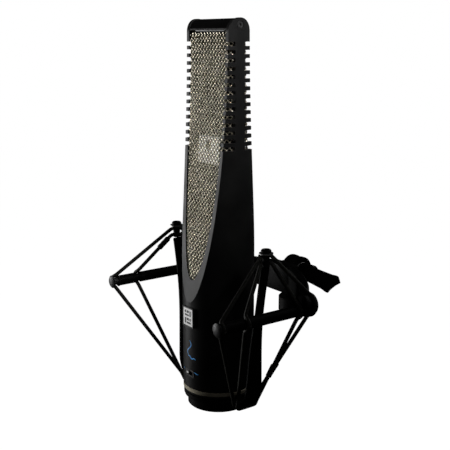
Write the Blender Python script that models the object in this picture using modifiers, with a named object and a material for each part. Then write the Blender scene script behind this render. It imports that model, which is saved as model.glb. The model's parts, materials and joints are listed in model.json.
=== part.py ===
"""Ribbon microphone in its elastic shock mount, modelled piece by piece.

Run with: blender --background --python part.py

Lengths are in metres and +Z is up. The sizes below are written in the microphone's own frame: its
axis is X = Y = 0, the middle of its base ring is Z = 0, and its front faces -Y. The object's frame
has its origin at the middle of the stand socket's mouth, so every piece hangs on an empty that
carries it from the one frame to the other. Touching pieces keep a gap of 0.3 mm.
"""

import math

import bmesh
import bpy
from mathutils import Matrix, Vector

GAP = 0.0003

# Microphone body: a tube whose front and back are scooped away by a long arc.
BODY_RADIUS = 0.0300
BODY_WALL = 0.0031
BODY_BOTTOM = 0.0020
SCOOP_ARC_RADIUS = 1.33
SCOOP_ARC_Z = 0.3057
SCOOP_LEAST_DEPTH = 0.0101
CHEEK_AXIS_Z = 0.2931
ROUND_STEPS = 64

# Slots that cut the two cheeks into fins, from the front edge and from the back edge.
SLOT_COUNT = 14
SLOT_PITCH = 0.006156
SLOT_TOP_Z = 0.2837
SLOT_HEIGHT = 0.0032
SPINE_HALF_WIDTH = 0.0045

# Head bar between the cheeks, and the screws that hold it.
HEAD_BAR_RADIUS = 0.0091
HEAD_BAR_BOTTOM = 0.2941
HEAD_BAR_DROP = 0.0004
HEAD_SCREW_Z = 0.2978
HEAD_SCREW_RADIUS = 0.0028

# Woven basket inside the tube.
BASKET_BOTTOM = 0.0840
BASKET_TOP = HEAD_BAR_BOTTOM - GAP
BASKET_RADIUS = 0.0266
BASKET_RECESS = 0.0007
BASKET_WALL = 0.0009
BASKET_SQUARENESS = 14

# Ribbon motor inside the basket, and the chassis that carries it.
MOTOR_BOTTOM = 0.1900
MOTOR_TOP = 0.2640
MOTOR_HALF_WIDTH = 0.0130
MOTOR_HALF_DEPTH = 0.0050
WINDOW_HALF_WIDTH = 0.0090
WINDOW_INSET = 0.0050
RIBBON_WIDTH = 0.0045
RIBBON_RIDGES = 17
RAIL_X = 0.0195

# Base of the microphone.
RING_HALF_HEIGHT = 0.0017
COLLAR_BOTTOM = -0.0040
SPIGOT_RADIUS = 0.0220
SPIGOT_BOTTOM = -0.0168
CONNECTOR_RADIUS = 0.0113
PIN_PLACES = ((-0.0038, 0.0013), (0.0038, 0.0013), (0.0, -0.0038))

# Cradle that the microphone stands in.
CRADLE_TOP = COLLAR_BOTTOM - GAP
CRADLE_THICKNESS = 0.0024
CRADLE_RADIUS = 0.0296
ARM_FOOT_X = 0.0330
NUT_TOP = CRADLE_TOP - CRADLE_THICKNESS - GAP
NUT_BOTTOM = -0.0170
NUT_RADIUS = 0.0263
NUT_FLANGE_RADIUS = 0.0291
ARM_THICKNESS = 0.0030
HOOK_X = 0.0632
HOOK_Z = 0.1205
FOOT_X = 0.0370
FOOT_Z = -0.0055
FOOT_HALF_WIDTH = 0.0076

# Shock mount's frame: two rods held by a yoke.
ROD_X = 0.0788
ROD_Z = 0.0803
ROD_RADIUS = 0.0045
ROD_FRONT = -0.0515
ROD_BACK = 0.0222
GROOVE_DEPTH = 0.0011
GROOVE_HALF_WIDTH = 0.0021
INNER_FRONT_Y = -0.0320
INNER_BACK_Y = 0.0194
OUTER_FRONT_Y = -0.0548
OUTER_BACK_Y = 0.0304
YOKE_THICKNESS = 0.0074
BOSS_Z = 0.0840
BOSS_RADIUS = 0.0088
BOSS_NECK_RADIUS = 0.0068
BOSS_FRONT = ROD_BACK + GAP
BOSS_BACK = 0.0338
BLOCK_HALF_WIDTH = 0.0170
BLOCK_FRONT = 0.0620
BLOCK_BOTTOM = 0.0700
BLOCK_TOP = 0.0950

# Swivel on the stand: a knuckle whose axis lies along X.
STAND_Y = 0.0860
TILT_Z = 0.0868
KNUCKLE_RADIUS = 0.0115
KNUCKLE_HALF_WIDTH = 0.0034
NECK_HALF_DEPTH = 0.0048
FORK_THICKNESS = 0.0032
SOCKET_MOUTH_Z = 0.0480
SOCKET_TOP_Z = 0.0650
SOCKET_RADIUS = 0.0155
THREAD_RADIUS = 0.0079
INSERT_BORE_RADIUS = 0.0048
BOLT_RADIUS = 0.0030
LEVER_TIP_X = 0.0488
LEVER_TILT = math.radians(25.0)
LEVER_DROOP = math.radians(5.0)

BAND_RADIUS = 0.0016

STAND_FRAME = Vector((0.0, STAND_Y, SOCKET_MOUTH_Z))
TILT_AXIS = Vector((0.0, STAND_Y, TILT_Z))
MICROPHONE_AXIS = Vector((0.0, 0.0, 0.0))

COLOURS = {
    "satin_black": ((0.020, 0.020, 0.021), 0.45, 0.0),
    "mount_black": ((0.012, 0.012, 0.012), 0.50, 0.0),
    "wire": ((0.62, 0.56, 0.46), 0.30, 1.0),
    "champagne": ((0.68, 0.62, 0.50), 0.28, 1.0),
    "bright_metal": ((0.66, 0.66, 0.66), 0.25, 1.0),
    "black_plastic": ((0.015, 0.015, 0.015), 0.40, 0.0),
    "dark_metal": ((0.09, 0.09, 0.09), 0.40, 0.8),
    "brass": ((0.72, 0.52, 0.22), 0.30, 1.0),
    "elastic": ((0.015, 0.015, 0.015), 0.85, 0.0),
    "rubber": ((0.020, 0.020, 0.020), 0.90, 0.0),
    "board": ((0.02, 0.16, 0.07), 0.55, 0.0),
    "magnet": ((0.30, 0.30, 0.32), 0.30, 1.0),
    "ribbon": ((0.85, 0.85, 0.86), 0.20, 1.0),
    "label": ((0.80, 0.80, 0.78), 0.35, 0.3),
}


def clear_scene():
    for obj in list(bpy.data.objects):
        bpy.data.objects.remove(obj, do_unlink=True)


def new_collection(name):
    collection = bpy.data.collections.new(name)
    bpy.context.scene.collection.children.link(collection)
    return collection


def new_empty(name, origin):
    """An empty at a place given in the microphone's frame."""
    empty = bpy.data.objects.new(name, None)
    empty.location = origin - STAND_FRAME
    PARTS.objects.link(empty)
    return empty


def material(name):
    found = bpy.data.materials.get(name)
    if found:
        return found
    colour, roughness, metallic = COLOURS[name]
    made = bpy.data.materials.new(name)
    made.use_nodes = True
    shader = made.node_tree.nodes["Principled BSDF"]
    shader.inputs["Base Color"].default_value = (*colour, 1.0)
    shader.inputs["Roughness"].default_value = roughness
    shader.inputs["Metallic"].default_value = metallic
    return made


def finish_mesh(name, data, sharp_degrees=35.0):
    mesh = bpy.data.meshes.new(name)
    data.to_mesh(mesh)
    data.free()
    mesh.shade_smooth()
    mesh.set_sharp_from_angle(angle=math.radians(sharp_degrees))
    return mesh


def add_piece(name, mesh, look, parent, centre=(0.0, 0.0, 0.0), turn=None):
    """Adds a node at a centre given in the microphone's frame, hung on one of the empties."""
    obj = bpy.data.objects.new(name, mesh)
    PARTS.objects.link(obj)
    obj.parent = EMPTIES[parent]
    place = Matrix.Translation(Vector(centre) - ORIGINS[parent])
    obj.matrix_basis = place @ turn.to_4x4() if turn else place
    mesh.materials.append(material(look))
    return obj


def make_cutter(obj):
    PARTS.objects.unlink(obj)
    CUTTERS.objects.link(obj)
    obj.hide_render = True
    obj.display_type = "WIRE"
    return obj


def boolean(target, other, operation):
    modifier = target.modifiers.new(f"{operation.lower()} {other.name}", "BOOLEAN")
    modifier.operation = operation
    modifier.solver = "EXACT"
    modifier.object = make_cutter(other)
    return target


def cut(target, *others):
    for other in others:
        boolean(target, other, "DIFFERENCE")
    return target


def join(target, *others):
    for other in others:
        boolean(target, other, "UNION")
    return target


def bevel(obj, width, segments=2):
    modifier = obj.modifiers.new("soft edges", "BEVEL")
    modifier.width = width
    modifier.segments = segments
    modifier.limit_method = "ANGLE"
    modifier.angle_limit = math.radians(40)
    return obj


def solidify(obj, thickness, offset=0.0):
    modifier = obj.modifiers.new("wall", "SOLIDIFY")
    modifier.thickness = thickness
    modifier.offset = offset
    modifier.use_even_offset = True
    return obj


# Turns that carry local Z onto another axis.
ALONG_X = Matrix(((0, 0, 1), (1, 0, 0), (0, 1, 0)))
ALONG_Y = Matrix(((1, 0, 0), (0, 0, 1), (0, -1, 0)))
TOWARDS_BACK = Matrix(((-1, 0, 0), (0, 0, 1), (0, 1, 0)))


def cylinder(name, look, parent, centre, radius, length, turn=None, steps=32, top_radius=None):
    data = bmesh.new()
    upper = radius if top_radius is None else top_radius
    bmesh.ops.create_cone(data, cap_ends=True, segments=steps, radius1=radius, radius2=upper, depth=length)
    return add_piece(name, finish_mesh(name, data), look, parent, centre, turn)


def box(name, look, parent, low, high):
    """A box between two corners given in the microphone's frame."""
    low, high = Vector(low), Vector(high)
    data = bmesh.new()
    bmesh.ops.create_cube(data, size=1.0)
    bmesh.ops.scale(data, vec=high - low, verts=data.verts)
    return add_piece(name, finish_mesh(name, data), look, parent, (low + high) / 2)


def turned(name, look, parent, centre, profile, turn=None, steps=40):
    """A turned solid. The profile is (radius, height) pairs that run down its outer side."""
    data = bmesh.new()
    corners = [data.verts.new((radius, 0.0, height)) for radius, height in profile]
    for first, second in zip(corners, corners[1:]):
        data.edges.new((first, second))
    obj = add_piece(name, finish_mesh(name, data), look, parent, centre, turn)
    screw = obj.modifiers.new("turning", "SCREW")
    screw.axis = "Z"
    screw.steps = steps
    screw.render_steps = steps
    screw.use_merge_vertices = True
    screw.merge_threshold = 0.00001
    return obj


def ring_profile(inner, outer, bottom, top, round_off=0.0):
    """The closed outline of a turned ring, with its outer corners rounded off."""
    slope = round_off
    return [
        (inner, top),
        (outer - slope, top),
        (outer, top - slope),
        (outer, bottom + slope),
        (outer - slope, bottom),
        (inner, bottom),
        (inner, top),
    ]


def flat_piece(name, look, parent, outline, thickness, centre, turn=None):
    """A plate cut to an outline: local X and Y in the plate, its thickness along local Z."""
    curve = bpy.data.curves.new(name, "CURVE")
    curve.dimensions = "2D"
    curve.fill_mode = "BOTH"
    curve.extrude = thickness / 2
    spline = curve.splines.new("POLY")
    spline.points.add(len(outline) - 1)
    for point, (x, y) in zip(spline.points, outline):
        point.co = (x, y, 0.0, 1.0)
    spline.use_cyclic_u = True
    return add_curve(name, look, parent, curve, centre, turn)


def tube(name, look, parent, points, radius, closed=False):
    """A round wire along points given in the microphone's frame."""
    curve = bpy.data.curves.new(name, "CURVE")
    curve.dimensions = "3D"
    curve.bevel_depth = radius
    curve.bevel_resolution = 2
    curve.use_fill_caps = not closed
    spline = curve.splines.new("POLY")
    spline.points.add(len(points) - 1)
    for point, place in zip(spline.points, points):
        point.co = (*place, 1.0)
    spline.use_cyclic_u = closed
    return add_curve(name, look, parent, curve, (0.0, 0.0, 0.0), None)


def add_curve(name, look, parent, curve, centre, turn):
    """Turns a curve into a mesh with its caps welded on, because a Boolean takes no curve."""
    source = bpy.data.objects.new(name, curve)
    PARTS.objects.link(source)
    bpy.context.view_layer.update()
    graph = bpy.context.evaluated_depsgraph_get()
    raw = bpy.data.meshes.new_from_object(source.evaluated_get(graph))
    data = bmesh.new()
    data.from_mesh(raw)
    bmesh.ops.remove_doubles(data, verts=data.verts, dist=0.000002)
    bpy.data.objects.remove(source)
    bpy.data.curves.remove(curve)
    bpy.data.meshes.remove(raw)
    return add_piece(name, finish_mesh(name, data), look, parent, centre, turn)


def grid_mesh(name, rows, closed_rows=False, cap_last=False):
    """An open surface over rows of points. closed_rows joins each row's ends into a ring."""
    data = bmesh.new()
    verts = [[data.verts.new(point) for point in row] for row in rows]
    count = len(rows[0])
    for lower, upper in zip(verts, verts[1:]):
        for index in range(count if closed_rows else count - 1):
            after = (index + 1) % count
            data.faces.new((lower[index], lower[after], upper[after], upper[index]))
    if cap_last:
        data.faces.new(verts[-1])
    return finish_mesh(name, data)


def smooth_steps(points, value):
    """The place at a value along (value, number, ...) points, eased between them with Hermite slopes."""
    keys = [point[0] for point in points]
    value = min(max(value, keys[0]), keys[-1])
    index = max(i for i in range(len(points) - 1) if keys[i] <= value)
    first, second = points[index], points[index + 1]
    span = second[0] - first[0]
    share = (value - first[0]) / span
    result = []
    for column in range(1, len(first)):
        slopes = []
        for at in (index, index + 1):
            before, after = max(at - 1, 0), min(at + 1, len(points) - 1)
            slopes.append((points[after][column] - points[before][column]) / (keys[after] - keys[before]))
        a, b = first[column], second[column]
        c, d = slopes[0] * span, slopes[1] * span
        cubed, squared = share**3, share**2
        result.append(
            a * (2 * cubed - 3 * squared + 1)
            + c * (cubed - 2 * squared + share)
            + b * (3 * squared - 2 * cubed)
            + d * (cubed - squared)
        )
    return result


def arc(centre_x, centre_y, radius, start, end, steps):
    """Points on an arc, its angles in degrees."""
    angles = [math.radians(start + (end - start) * step / steps) for step in range(steps + 1)]
    return [(centre_x + radius * math.cos(a), centre_y + radius * math.sin(a)) for a in angles]


def scoop_depth(z):
    """How far in front of the axis the scooped face lies at a height."""
    below = SCOOP_ARC_Z - z
    return SCOOP_LEAST_DEPTH + SCOOP_ARC_RADIUS - math.sqrt(SCOOP_ARC_RADIUS**2 - below**2)


# ---------------------------------------------------------------- microphone


def make_body_shell():
    height = CHEEK_AXIS_Z + 0.02 - BODY_BOTTOM
    middle = (0.0, 0.0, BODY_BOTTOM + height / 2)
    shell = cylinder(
        "body_shell", "satin_black", "microphone_axis", middle, BODY_RADIUS, height, steps=ROUND_STEPS
    )
    bore_radius = BODY_RADIUS - BODY_WALL
    bore = cylinder(
        "body_bore", "satin_black", "microphone_axis", middle, bore_radius, height + 0.02, steps=ROUND_STEPS
    )
    cut(shell, bore)

    start_z = 0.0700
    scoop_z = [start_z + (CHEEK_AXIS_Z - start_z) * step / 30 for step in range(31)]
    right = [(scoop_depth(z), z) for z in scoop_z]
    top = arc(0.0, CHEEK_AXIS_Z, scoop_depth(CHEEK_AXIS_Z), 0.0, 180.0, 20)[1:-1]
    left = [(-y, z) for y, z in reversed(right)]
    wide = BODY_RADIUS + 0.004
    floor = BODY_BOTTOM - 0.01
    outline = [(-wide, floor), (wide, floor), (wide, start_z)] + right + top + left + [(-wide, start_z)]
    side = flat_piece("body_side", "satin_black", "microphone_axis", outline, 0.08, (0, 0, 0), ALONG_X)
    boolean(shell, side, "INTERSECT")

    inner, outer = bore_radius - 0.006, BODY_RADIUS + 0.004
    for index in range(SLOT_COUNT):
        z = SLOT_TOP_Z - SLOT_PITCH * index
        for side_name, side_sign in (("left", -1), ("right", 1)):
            for edge_name, edge_sign in (("front", -1), ("back", 1)):
                xs = sorted((side_sign * inner, side_sign * outer))
                ys = sorted((edge_sign * SPINE_HALF_WIDTH, edge_sign * 0.0200))
                low = (xs[0], ys[0], z - SLOT_HEIGHT / 2)
                high = (xs[1], ys[1], z + SLOT_HEIGHT / 2)
                name = f"slot_{side_name}_{edge_name}_{index + 1}"
                cut(shell, box(name, "satin_black", "microphone_axis", low, high))

    screw_hole = cylinder(
        "head_screw_hole",
        "satin_black",
        "microphone_axis",
        (0.0, 0.0, HEAD_SCREW_Z),
        HEAD_SCREW_RADIUS + GAP,
        0.08,
        ALONG_X,
        24,
    )
    cut(shell, screw_hole)
    window = box(
        "switch_window",
        "satin_black",
        "microphone_axis",
        (-0.0062, -0.04, 0.0118),
        (0.0062, -0.02, 0.0182),
    )
    cut(shell, window)
    return shell


def make_head_bar():
    axis_z = CHEEK_AXIS_Z + scoop_depth(CHEEK_AXIS_Z) - HEAD_BAR_DROP - HEAD_BAR_RADIUS
    lip = 0.0005
    lip_top = HEAD_BAR_BOTTOM + 0.0012
    start = math.degrees(math.asin((lip_top + lip - axis_z) / HEAD_BAR_RADIUS))
    outline = [(-HEAD_BAR_RADIUS - lip, HEAD_BAR_BOTTOM), (HEAD_BAR_RADIUS + lip, HEAD_BAR_BOTTOM)]
    outline.append((HEAD_BAR_RADIUS + lip, lip_top))
    outline += arc(0.0, axis_z, HEAD_BAR_RADIUS, start, 180.0 - start, 18)
    outline.append((-HEAD_BAR_RADIUS - lip, lip_top))
    bar = flat_piece("head_bar", "satin_black", "microphone_axis", outline, 0.07, (0, 0, 0), ALONG_X)
    round_end = cylinder(
        "head_bar_ends",
        "satin_black",
        "microphone_axis",
        (0.0, 0.0, CHEEK_AXIS_Z),
        BODY_RADIUS - BODY_WALL - GAP,
        0.05,
        steps=ROUND_STEPS,
    )
    boolean(bar, round_end, "INTERSECT")
    for name, sign in (("left", -1), ("right", 1)):
        hole = cylinder(
            f"head_bar_hole_{name}",
            "satin_black",
            "microphone_axis",
            (sign * 0.0220, 0.0, HEAD_SCREW_Z),
            0.0015 + GAP,
            0.0160,
            ALONG_X,
            16,
        )
        cut(bar, hole)
    return bar


def make_head_screws():
    """A countersunk screw through each cheek into the head bar, with a hexagon socket."""
    for name, sign in (("left", -1), ("right", 1)):
        head_profile = [
            (0.0, 0.0298),
            (HEAD_SCREW_RADIUS - 0.0003, 0.0298),
            (HEAD_SCREW_RADIUS, 0.0295),
            (HEAD_SCREW_RADIUS, 0.0277),
            (0.0015, 0.0271),
            (0.0015, 0.0150),
            (0.0, 0.0146),
        ]
        turn = ALONG_X if sign > 0 else Matrix.Rotation(math.pi, 3, "Z") @ ALONG_X
        screw = turned(
            f"head_screw_{name}",
            "dark_metal",
            "microphone_axis",
            (0.0, 0.0, HEAD_SCREW_Z),
            head_profile,
            turn,
            24,
        )
        socket = cylinder(
            f"head_screw_socket_{name}",
            "dark_metal",
            "microphone_axis",
            (sign * 0.0296, 0.0, HEAD_SCREW_Z),
            0.0013,
            0.0024,
            ALONG_X,
            6,
        )
        cut(screw, socket)


def basket_ring(z, shrink=1.0, steps=36):
    """The basket's section at a height: the tube's round sides, flattened by the scoops."""
    side = BASKET_RADIUS
    depth = min(scoop_depth(z), 0.06) - BASKET_RECESS
    ring = []
    for step in range(steps):
        angle = 2 * math.pi * step / steps
        flat_reach = abs(math.sin(angle)) / depth
        reach = ((1 / side) ** BASKET_SQUARENESS + flat_reach**BASKET_SQUARENESS) ** (-1 / BASKET_SQUARENESS)
        ring.append((shrink * reach * math.cos(angle), shrink * reach * math.sin(angle), z))
    return ring


def make_basket():
    """The basket as a closed-top oval shell, so that it has the mesh's size and place."""
    straight = BASKET_TOP - 0.0050
    levels = [BASKET_BOTTOM + (straight - BASKET_BOTTOM) * step / 6 for step in range(7)]
    rows = [basket_ring(z) for z in levels]
    rows.append(basket_ring(BASKET_TOP - 0.0022, shrink=0.975))
    rows.append(basket_ring(BASKET_TOP - 0.0007, shrink=0.93))
    rows.append(basket_ring(BASKET_TOP, shrink=0.85))
    mesh = grid_mesh("grille_basket", rows, closed_rows=True, cap_last=True)
    solidify(add_piece("grille_basket", mesh, "wire", "microphone_axis"), BASKET_WALL, -1.0)


def make_motor():
    frame = box(
        "motor_frame",
        "magnet",
        "microphone_axis",
        (-MOTOR_HALF_WIDTH, -MOTOR_HALF_DEPTH, MOTOR_BOTTOM),
        (MOTOR_HALF_WIDTH, MOTOR_HALF_DEPTH, MOTOR_TOP),
    )
    window = box(
        "motor_window",
        "magnet",
        "microphone_axis",
        (-WINDOW_HALF_WIDTH, -0.02, MOTOR_BOTTOM + WINDOW_INSET),
        (WINDOW_HALF_WIDTH, 0.02, MOTOR_TOP - WINDOW_INSET),
    )
    bevel(cut(frame, window), 0.0004, 1)

    gap_low = MOTOR_BOTTOM + WINDOW_INSET + GAP
    gap_high = MOTOR_TOP - WINDOW_INSET - GAP
    pole_edge = RIBBON_WIDTH / 2 + 0.0006
    for name, sign in (("left", -1), ("right", 1)):
        xs = sorted((sign * pole_edge, sign * (WINDOW_HALF_WIDTH - GAP)))
        magnet = box(
            f"magnet_{name}",
            "magnet",
            "microphone_axis",
            (xs[0], -0.0042, gap_low + 0.0070),
            (xs[1], 0.0042, gap_high - 0.0070),
        )
        bevel(magnet, 0.0005, 1)
    for name, low, high in (
        ("bottom", gap_low, gap_low + 0.0066),
        ("top", gap_high - 0.0066, gap_high),
    ):
        clamp = box(
            f"ribbon_clamp_{name}",
            "bright_metal",
            "microphone_axis",
            (-0.0080, -0.0040, low),
            (0.0080, 0.0040, high),
        )
        slit_low = low - 0.001 if name == "top" else high - 0.0030
        slit_high = low + 0.0030 if name == "top" else high + 0.001
        slit = box(
            f"ribbon_slit_{name}",
            "bright_metal",
            "microphone_axis",
            (-RIBBON_WIDTH / 2 - GAP, -0.0011, slit_low),
            (RIBBON_WIDTH / 2 + GAP, 0.0011, slit_high),
        )
        cut(clamp, slit)

    foil_low = gap_low + 0.0044
    foil_high = gap_high - 0.0044
    rows = []
    for step in range(2 * RIBBON_RIDGES + 1):
        z = foil_low + (foil_high - foil_low) * step / (2 * RIBBON_RIDGES)
        y = 0.0005 * (1 if step % 2 else -1)
        rows.append([(-RIBBON_WIDTH / 2, y, z), (RIBBON_WIDTH / 2, y, z)])
    foil = add_piece("ribbon", grid_mesh("ribbon", rows), "ribbon", "microphone_axis")
    solidify(foil, 0.0002)


def make_chassis():
    floor = turned(
        "chassis_base",
        "dark_metal",
        "microphone_axis",
        (0.0, 0.0, 0.0),
        [(0.0, 0.0116), (0.0257, 0.0116), (0.0257, 0.0086), (0.0, 0.0086)],
        None,
        48,
    )
    bevel(floor, 0.0003, 1)
    frame = box(
        "chassis_frame",
        "dark_metal",
        "microphone_axis",
        (-RAIL_X - 0.0012, -0.0060, 0.0119),
        (RAIL_X + 0.0012, 0.0060, 0.1830),
    )
    opening = box(
        "chassis_opening",
        "dark_metal",
        "microphone_axis",
        (-RAIL_X + 0.0012, -0.02, 0.0000),
        (RAIL_X - 0.0012, 0.02, 0.1800),
    )
    bevel(cut(frame, opening), 0.0004, 1)
    isolator = box(
        "motor_isolator",
        "rubber",
        "microphone_axis",
        (-0.0125, -0.0050, 0.1833),
        (0.0125, 0.0050, MOTOR_BOTTOM - GAP),
    )
    bevel(isolator, 0.0010, 2)

    turned(
        "output_transformer",
        "dark_metal",
        "microphone_axis",
        (0.0, 0.0, 0.0),
        ring_profile(0.0050, 0.0150, 0.0119, 0.0290, 0.0030),
        None,
        36,
    )
    board = box(
        "circuit_board",
        "board",
        "microphone_axis",
        (-0.0160, -0.0008, 0.0400),
        (0.0160, 0.0008, 0.1250),
    )
    bevel(board, 0.0002, 1)
    for name, x, z, radius, length in (
        ("capacitor", -0.0050, 0.0600, 0.0050, 0.0100),
        ("amplifier_can", 0.0, 0.0980, 0.0042, 0.0060),
    ):
        can = cylinder(
            name,
            "bright_metal",
            "microphone_axis",
            (x, -0.0008 - GAP - length / 2, z),
            radius,
            length,
            ALONG_Y,
            20,
        )
        bevel(can, 0.0006, 1)


def make_base():
    turned(
        "base_ring",
        "champagne",
        "microphone_axis",
        (0.0, 0.0, 0.0),
        ring_profile(0.0240, 0.0301, -RING_HALF_HEIGHT, RING_HALF_HEIGHT, 0.0005),
        None,
        64,
    )
    collar_top = -RING_HALF_HEIGHT - GAP
    boss = 0.0237
    profile = [
        (CONNECTOR_RADIUS + GAP, RING_HALF_HEIGHT),
        (boss, RING_HALF_HEIGHT),
        (boss, collar_top),
        (0.0294, collar_top),
        (0.0298, collar_top - 0.0005),
        (0.0296, COLLAR_BOTTOM + 0.0006),
        (0.0290, COLLAR_BOTTOM),
        (SPIGOT_RADIUS, COLLAR_BOTTOM),
        (SPIGOT_RADIUS, SPIGOT_BOTTOM + 0.0010),
        (SPIGOT_RADIUS - 0.0010, SPIGOT_BOTTOM),
        (CONNECTOR_RADIUS + GAP, SPIGOT_BOTTOM),
        (CONNECTOR_RADIUS + GAP, RING_HALF_HEIGHT),
    ]
    turned("base_collar", "satin_black", "microphone_axis", (0, 0, 0), profile, None, 40)
    insert_low = -0.0030
    insert = turned(
        "connector_insert",
        "black_plastic",
        "microphone_axis",
        (0.0, 0.0, 0.0),
        [(0.0, 0.0050), (CONNECTOR_RADIUS, 0.0050), (CONNECTOR_RADIUS, insert_low), (0.0, insert_low)],
        None,
        40,
    )
    for index, (x, y) in enumerate(PIN_PLACES):
        name = f"connector_hole_{index + 1}"
        hole = cylinder(name, "black_plastic", "microphone_axis", (x, y, 0.0), 0.0015, 0.03, None, 16)
        cut(insert, hole)
        turned(
            f"connector_pin_{index + 1}",
            "brass",
            "microphone_axis",
            (x, y, 0.0),
            [(0.0, 0.0070), (0.0012, 0.0070), (0.0012, -0.0135), (0.0008, -0.0142), (0.0, -0.0145)],
            None,
            16,
        )


def make_front_details():
    face = -BODY_RADIUS - GAP
    badge_z = 0.0640
    rim = box(
        "badge_rim",
        "black_plastic",
        "microphone_axis",
        (-0.0074, face - 0.0006, badge_z - 0.0082),
        (0.0070, face + 0.0030, badge_z + 0.0082),
    )
    hollow = cylinder(
        "badge_seat",
        "black_plastic",
        "microphone_axis",
        (0.0, 0.0, badge_z),
        BODY_RADIUS + GAP,
        0.04,
        None,
        ROUND_STEPS,
    )
    cut(rim, hollow)
    pocket = box(
        "badge_pocket",
        "black_plastic",
        "microphone_axis",
        (-0.0068, face - 0.01, badge_z - 0.0076),
        (0.0064, face + 0.01, badge_z + 0.0076),
    )
    cut(rim, pocket)
    plate = box(
        "badge_plate",
        "label",
        "microphone_axis",
        (-0.0065, face - 0.0005, badge_z - 0.0073),
        (0.0061, face + 0.0030, badge_z + 0.0073),
    )
    plate_seat = cylinder(
        "badge_plate_seat",
        "label",
        "microphone_axis",
        (0.0, 0.0, badge_z),
        BODY_RADIUS + GAP,
        0.04,
        None,
        ROUND_STEPS,
    )
    cut(plate, plate_seat)

    bezel = box(
        "switch_bezel",
        "black_plastic",
        "microphone_axis",
        (-0.0059, -0.0298, 0.0121),
        (0.0059, -0.0266, 0.0179),
    )
    track = box(
        "switch_track",
        "black_plastic",
        "microphone_axis",
        (-0.0047, -0.04, 0.0131),
        (0.0047, -0.0276, 0.0169),
    )
    cut(bezel, track)
    slider = box(
        "filter_switch",
        "black_plastic",
        "microphone_axis",
        (-0.0044, -0.0302, 0.0134),
        (-0.0004, -0.0279, 0.0166),
    )
    bevel(slider, 0.0004, 2)


# ---------------------------------------------------------------- cradle


def arm_centre(share):
    """(X, Z) of the right arm's middle line, from its foot to its head."""
    stations = (
        (0.00, ARM_FOOT_X, FOOT_Z),
        (0.05, 0.0400, FOOT_Z + 0.0004),
        (0.11, 0.0455, -0.0010),
        (0.17, 0.0482, 0.0070),
        (0.30, 0.0498, 0.0250),
        (0.44, 0.0509, 0.0430),
        (0.60, 0.0536, 0.0650),
        (0.80, 0.0581, 0.0930),
        (1.00, 0.0623, HOOK_Z - 0.0052),
    )
    return smooth_steps(stations, share)


def arm_half_width(z):
    stations = (
        (-0.0100, FOOT_HALF_WIDTH),
        (-0.0010, FOOT_HALF_WIDTH),
        (0.0080, 0.0080),
        (0.0200, 0.0072),
        (0.0420, 0.0060),
        (0.0560, 0.0050),
        (0.0760, 0.0040),
        (0.1080, 0.0040),
        (0.1180, 0.0044),
    )
    return smooth_steps(stations, z)[0]


def make_cradle():
    middle = (0.0, 0.0, CRADLE_TOP - CRADLE_THICKNESS / 2)
    plate = cylinder(
        "cradle_plate", "mount_black", "microphone_axis", middle, CRADLE_RADIUS, CRADLE_THICKNESS, None, 64
    )
    ears = box(
        "cradle_ears",
        "mount_black",
        "microphone_axis",
        (0.0006 - ARM_FOOT_X, -FOOT_HALF_WIDTH, CRADLE_TOP - CRADLE_THICKNESS),
        (ARM_FOOT_X - 0.0006, FOOT_HALF_WIDTH, CRADLE_TOP),
    )
    hole = cylinder(
        "cradle_hole", "mount_black", "microphone_axis", middle, SPIGOT_RADIUS + GAP, 0.02, None, 64
    )
    cut(join(plate, ears), hole)

    for name, sign in (("left", -1), ("right", 1)):
        rows = []
        for step in range(25):
            x, z = arm_centre(step / 24)
            half = arm_half_width(z)
            rows.append([(sign * x, half * across, z) for across in (-1.0, 1.0)])
        mesh = grid_mesh(f"cradle_arm_{name}", rows)
        arm = add_piece(f"cradle_arm_{name}", mesh, "mount_black", "microphone_axis")
        solidify(arm, ARM_THICKNESS)
        bevel(arm, 0.0009, 1)

        turned(
            f"arm_hook_{name}",
            "mount_black",
            "microphone_axis",
            (sign * HOOK_X, 0.0, HOOK_Z),
            [
                (0.0, 0.0050),
                (0.0024, 0.0048),
                (0.0030, 0.0042),
                (0.0030, -0.0046),
                (0.0, -0.0046),
            ],
            None,
            24,
        )
        turned(
            f"hook_washer_{name}",
            "bright_metal",
            "microphone_axis",
            (sign * HOOK_X, 0.0, HOOK_Z + 0.0053),
            [(0.0, 0.0010), (0.0056, 0.0010), (0.0056, 0.0), (0.0, 0.0)],
            None,
            28,
        )
        turned(
            f"hook_screw_{name}",
            "mount_black",
            "microphone_axis",
            (sign * HOOK_X, 0.0, HOOK_Z + 0.0066),
            [(0.0, 0.0028), (0.0032, 0.0026), (0.0041, 0.0018), (0.0042, 0.0), (0.0, 0.0)],
            None,
            24,
        )

    turned(
        "ring_nut",
        "mount_black",
        "microphone_axis",
        (0.0, 0.0, 0.0),
        [
            (SPIGOT_RADIUS + GAP, NUT_TOP),
            (NUT_FLANGE_RADIUS, NUT_TOP),
            (NUT_FLANGE_RADIUS, NUT_TOP - 0.0012),
            (NUT_RADIUS, NUT_TOP - 0.0018),
            (NUT_RADIUS, NUT_BOTTOM + 0.0010),
            (NUT_RADIUS - 0.0010, NUT_BOTTOM),
            (SPIGOT_RADIUS + GAP, NUT_BOTTOM),
            (SPIGOT_RADIUS + GAP, NUT_TOP),
        ],
        None,
        48,
    )


# ---------------------------------------------------------------- shock mount frame


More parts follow.
